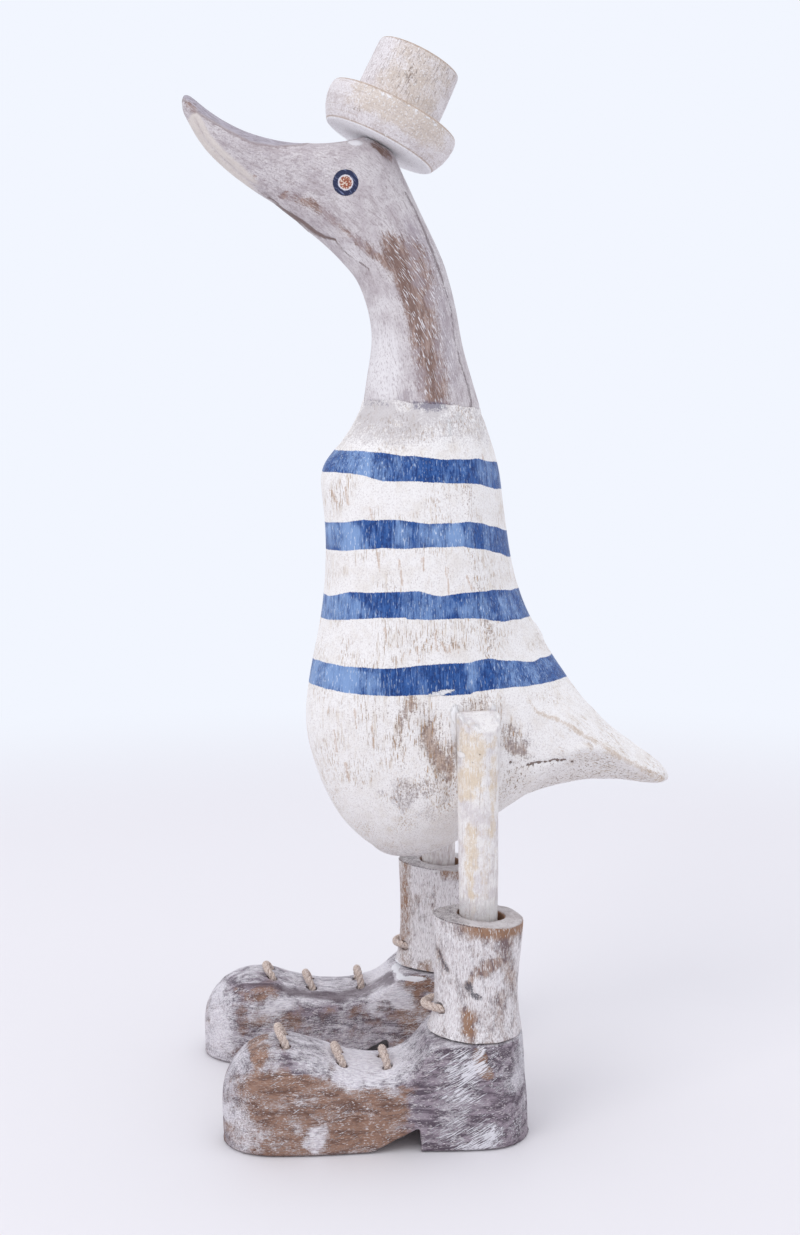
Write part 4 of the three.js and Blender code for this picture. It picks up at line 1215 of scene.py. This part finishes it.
# %% Shafts
hole_radius, rim_front, rim_depth, rim_drop = 8.95, -17.3, 33.7, 2.5
for side_name, seed, rim_height, hole_middle, shaft_paint in (
        ("left", 42, 83.3, (-1.3, 0.8), left_shaft_paint), ("right", 40, 81.1, (-1, 0.5), right_shaft_paint)):
    shaft = fine_copy(f"boot_{side_name}_shaft", 0.5, f"boot_{side_name}_shaft_carved")
    placed, face = points_of(shaft), normals_of(shaft)
    own = boot_frame(placed, side_name)
    own_x, own_y, own_z = own.T
    below_rim = rim_height - rim_drop * (own_y - rim_front) / rim_depth - own_z
    from_hole = np.hypot(own_x - hole_middle[0], own_y - hole_middle[1])
    in_hole = (from_hole < hole_radius) & (face[:, 2] < 0.6)
    top = smooth(face[:, 2], 0.6, 0.9)
    furrow, paint = shaft_paint(placed, own, bell(below_rim, 3.2, 1.5), smooth(own_x, -3, 4))
    scallops = 0.7 * gouged(own, 10, seed, (0.9, 0.9, 2.6)) * (1 - top) + 0.15 * top * waves(own, 3, 44)
    scallops = scallops - 0.5 * furrow + 0.07 * waves(own, 1.2, 43, (1, 1, 8))
    carve(shaft, np.where(in_hole, 0, scallops))
    keep(shaft, grain=own[:, [2, 1, 0]], top=top * (own_z > 70), worn_top=smooth(-own_y, 2, 12),
         rim=bell(below_rim, 0.8) * (1 - top) * smooth(-own_y, -8, 6),
         hole=in_hole.astype(float), **paint)
    hand_over(shaft, shaft_material, f"boot_{side_name}_shaft")

# %% [markdown]
# ## Twine laces
# Each lace is a short loop of three-strand twine with both ends pushed into drilled holes. Geometry Nodes
# wind the strands round the loop's path and scatter loose fibres over them: the path is copied once for
# each strand, and every copy is pushed off the middle in a direction that turns with the length.

# %% Twine tree
full_turn, fibre_lean = 2 * math.pi, 1.3


def twine_tree():
    """Winds strands round a path and scatters short fibres on them."""
    tree = bpy.data.node_groups.new("twine", "GeometryNodeTree")
    b, given = open_inputs(tree, [
        ("Strands", "Int", 3), ("Strand Radius", "Float", 0.00078), ("Off Centre", "Float", 0.00074),
        ("Pitch", "Float", 0.006), ("Fibres", "Float", 400000.0), ("Fibre Length", "Float", 0.0012),
        ("Seed", "Int", 1), ("Twine", "Material", None)])

    def scaled(direction, by):
        """A direction made that many times as long."""
        return b.node("ShaderNodeVectorMath", {"operation": "SCALE"}, {0: direction, "Scale": by})

    path = b.node("GeometryNodeResampleCurve", None, {"Curve": given["Outline"], "Count": 70})
    copies = b.node("GeometryNodeDuplicateElements", {"domain": "SPLINE"}, {
        "Geometry": path, "Amount": given["Strands"]})
    share = copies.sibling("Duplicate Index") / given["Strands"]
    length = b.node("GeometryNodeSplineParameter", out=1)
    angle = length / given["Pitch"] * full_turn + share * full_turn
    normal, tangent = b.node("GeometryNodeInputNormal"), b.node("GeometryNodeInputTangent")
    sideways = b.vector("CROSS_PRODUCT", tangent, normal)
    ring = b.vector("ADD", scaled(normal, b.math("COSINE", angle)), scaled(sideways, b.math("SINE", angle)))
    wound = b.node("GeometryNodeSetPosition", None, {
        "Geometry": copies, "Offset": scaled(ring, given["Off Centre"])})
    section = b.node("GeometryNodeCurvePrimitiveCircle", None, {
        "Resolution": 10, "Radius": given["Strand Radius"]})
    strands = b.node("GeometryNodeCurveToMesh", None, {
        "Curve": wound, "Profile Curve": section, "Fill Caps": True})
    spots = b.node("GeometryNodeDistributePointsOnFaces", None, {
        "Mesh": strands, "Density": given["Fibres"], "Seed": given["Seed"]})
    tilt = b.node("FunctionNodeRandomValue", {"data_type": "FLOAT_VECTOR"}, {
        0: (-fibre_lean, -fibre_lean, 0), 1: (fibre_lean, fibre_lean, 6.28), "Seed": given["Seed"]})
    leaning = b.node("FunctionNodeRotateRotation", {"rotation_space": "LOCAL"}, {
        0: spots.sibling("Rotation"), 1: tilt})
    hair = b.node("GeometryNodeMeshCone", None, {
        "Vertices": 3, "Side Segments": 2, "Radius Top": 0.00001, "Radius Bottom": 0.00004,
        "Depth": given["Fibre Length"]})
    sizes = b.node("FunctionNodeRandomValue", {"data_type": "FLOAT"}, {
        2: 0.4, 3: 1.0, "Seed": given["Seed"]}, out=1)
    fibres = b.node("GeometryNodeInstanceOnPoints", None, {
        "Points": spots, "Instance": hair, "Rotation": leaning, "Scale": sizes})
    both = b.node("GeometryNodeJoinGeometry", None, {0: strands})
    b.tree.links.new(fibres.socket, both.socket.node.inputs[0])
    return close_tree(b, both, given["Twine"])


twine_rope = twine_tree()

# %% Twine finish
def twine_finish():
    f = Finish("natural_twine")
    fibre, patchy = f.noise(0.35, 3, 0.7), f.noise(2.2, 2)
    colour = f.layers(
        (222, 206, 196),
        ((160, 138, 126), f.soft(fibre, 0.42, 0.62)),
        ((200, 188, 184), f.soft(patchy, 0.5, 0.7) * 0.6))
    return f.coat(colour, 0.9, f.bump(fibre, 0.2), 0.2)


twine_material = twine_finish()

# %% [markdown]
# ### Where the laces run
# Each path is read from the lace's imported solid: where the loop enters the wood, how far it stands out,
# and which way. The fourth lace stands out to the front, the other three stand on the instep.

# %% Laces
def lace_path(node, outward_front, lean_forward, depth=3.4, half=5.5, radius=1.65):
    """The loop's path in metres: down a hole, over, and down the other."""
    low, high = (np.array(corner) * 1000 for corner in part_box(node))
    middle = (low + high) / 2
    lean = math.radians(-5)
    across = np.array([math.cos(lean), math.sin(lean), 0.0])
    if outward_front:
        out = np.array([math.sin(lean), -math.cos(lean), 0.0])
        across = across + (0, 0, -0.1)
        reach = (high[1] - low[1]) / math.cos(lean) - abs(math.tan(lean)) * 2 * half
        entry = middle + out * (depth - reach / 2)
        rise = 0.88 * (reach - depth - radius)
    else:
        out = np.array([0.0, 0.0, 1.0])
        across = across + 0.12 * np.array([-math.sin(lean), math.cos(lean), 0.0])
        entry = np.array([middle[0], middle[1], low[2] + depth])
        rise = 0.85 * (high[2] - low[2] - depth - radius)
    loop = [(-half, -depth + 0.2), (-half, -0.4), (-half * 0.72, rise * 0.7), (0, rise),
            (half * 0.72, rise * 0.7), (half, -0.4), (half, -depth + 0.2)]
    forward = np.array([0, -lean_forward / rise, 0])
    untilt = np.array([0, 0, 0.2 / rise if outward_front else 0])
    return [
        tuple((entry + across * side_step + out * up + (forward + untilt * side_step) * max(up, 0)) / 1000)
        for side_step, up in loop]


for side_name in ("left", "right"):
    for number, lean_forward in enumerate((2.2, 2.0, 0.8, 0.0), start=1):
        node = f"lace_{side_name}_{number}"
        base = drawn_curve(node + "_path", lace_path(node, number == 4, lean_forward), smooth_path=True)
        lace = grow(node + "_twine", base, twine_rope, {
            "Seed": number + 10 * len(side_name), "Twine": twine_material})
        hand_over(lace, twine_material, node)

# %% [markdown]
# ## Floor and light
# The photograph was taken in a white tent: light comes softly from everywhere, a little more from the
# upper left, and the floor fades into the background. Here the floor's own colour turns into the world's
# colour with distance from the duck, so no horizon shows.

# %% Floor
sky_colour, sky_light = tone(242, 246, 255), 1.0
fade_start, fade_end = 420, 900


def floor_finish():
    f = Finish("pale_floor")
    away = f.vector("LENGTH", f.place, out=1)
    ground = f.node("ShaderNodeBsdfPrincipled", None, {"Base Color": tone(226, 222, 224), "Roughness": 0.7})
    distance = f.node("ShaderNodeEmission", None, {"Color": sky_colour, "Strength": sky_light})
    return f.show(f.node("ShaderNodeMixShader", None, {
        0: f.soft(away, fade_start, fade_end), 1: ground, 2: distance}))


bpy.ops.mesh.primitive_plane_add(size=40, location=(0, 0, 0))
floor = bpy.context.active_object
floor.name = "floor"
floor.data.materials.append(floor_finish())

world = bpy.data.worlds.new("tent")
bpy.context.scene.world = world
world.use_nodes = True
world.node_tree.nodes["Background"].inputs["Color"].default_value = sky_colour
world.node_tree.nodes["Background"].inputs["Strength"].default_value = sky_light

# %% [markdown]
# ### Lamps
# The world alone would light the duck evenly from all sides. Two large square lamps stand in for the
# tent's lit walls, one in front and above, one over the top, and give the wood its shape.

# %% Lamps
def lamp(name, place, size, power):
    """A square soft lamp that points at the duck's middle."""
    light = bpy.data.lights.new(name, "AREA")
    light.size, light.energy = size, power
    holder = bpy.data.objects.new(name, light)
    holder.location = place
    holder.rotation_euler = (Vector((0, 0, 0.2)) - Vector(place)).to_track_quat("-Z", "Y").to_euler()
    bpy.context.collection.objects.link(holder)
    print(name, power, "W from", round(Vector(place).length, 2), "m")


lamp("big_window", (0.9, -1.1, 1.3), 0.9, 8.0)
lamp("top_sheet", (0.0, 0.3, 1.8), 1.4, 5.0)
bpy.context.scene.view_settings.view_transform = "Standard"

# %% [markdown]
# ## Finish
# The dressed duck must stay the size of its solids.

# %% Finish
bpy.context.view_layer.update()
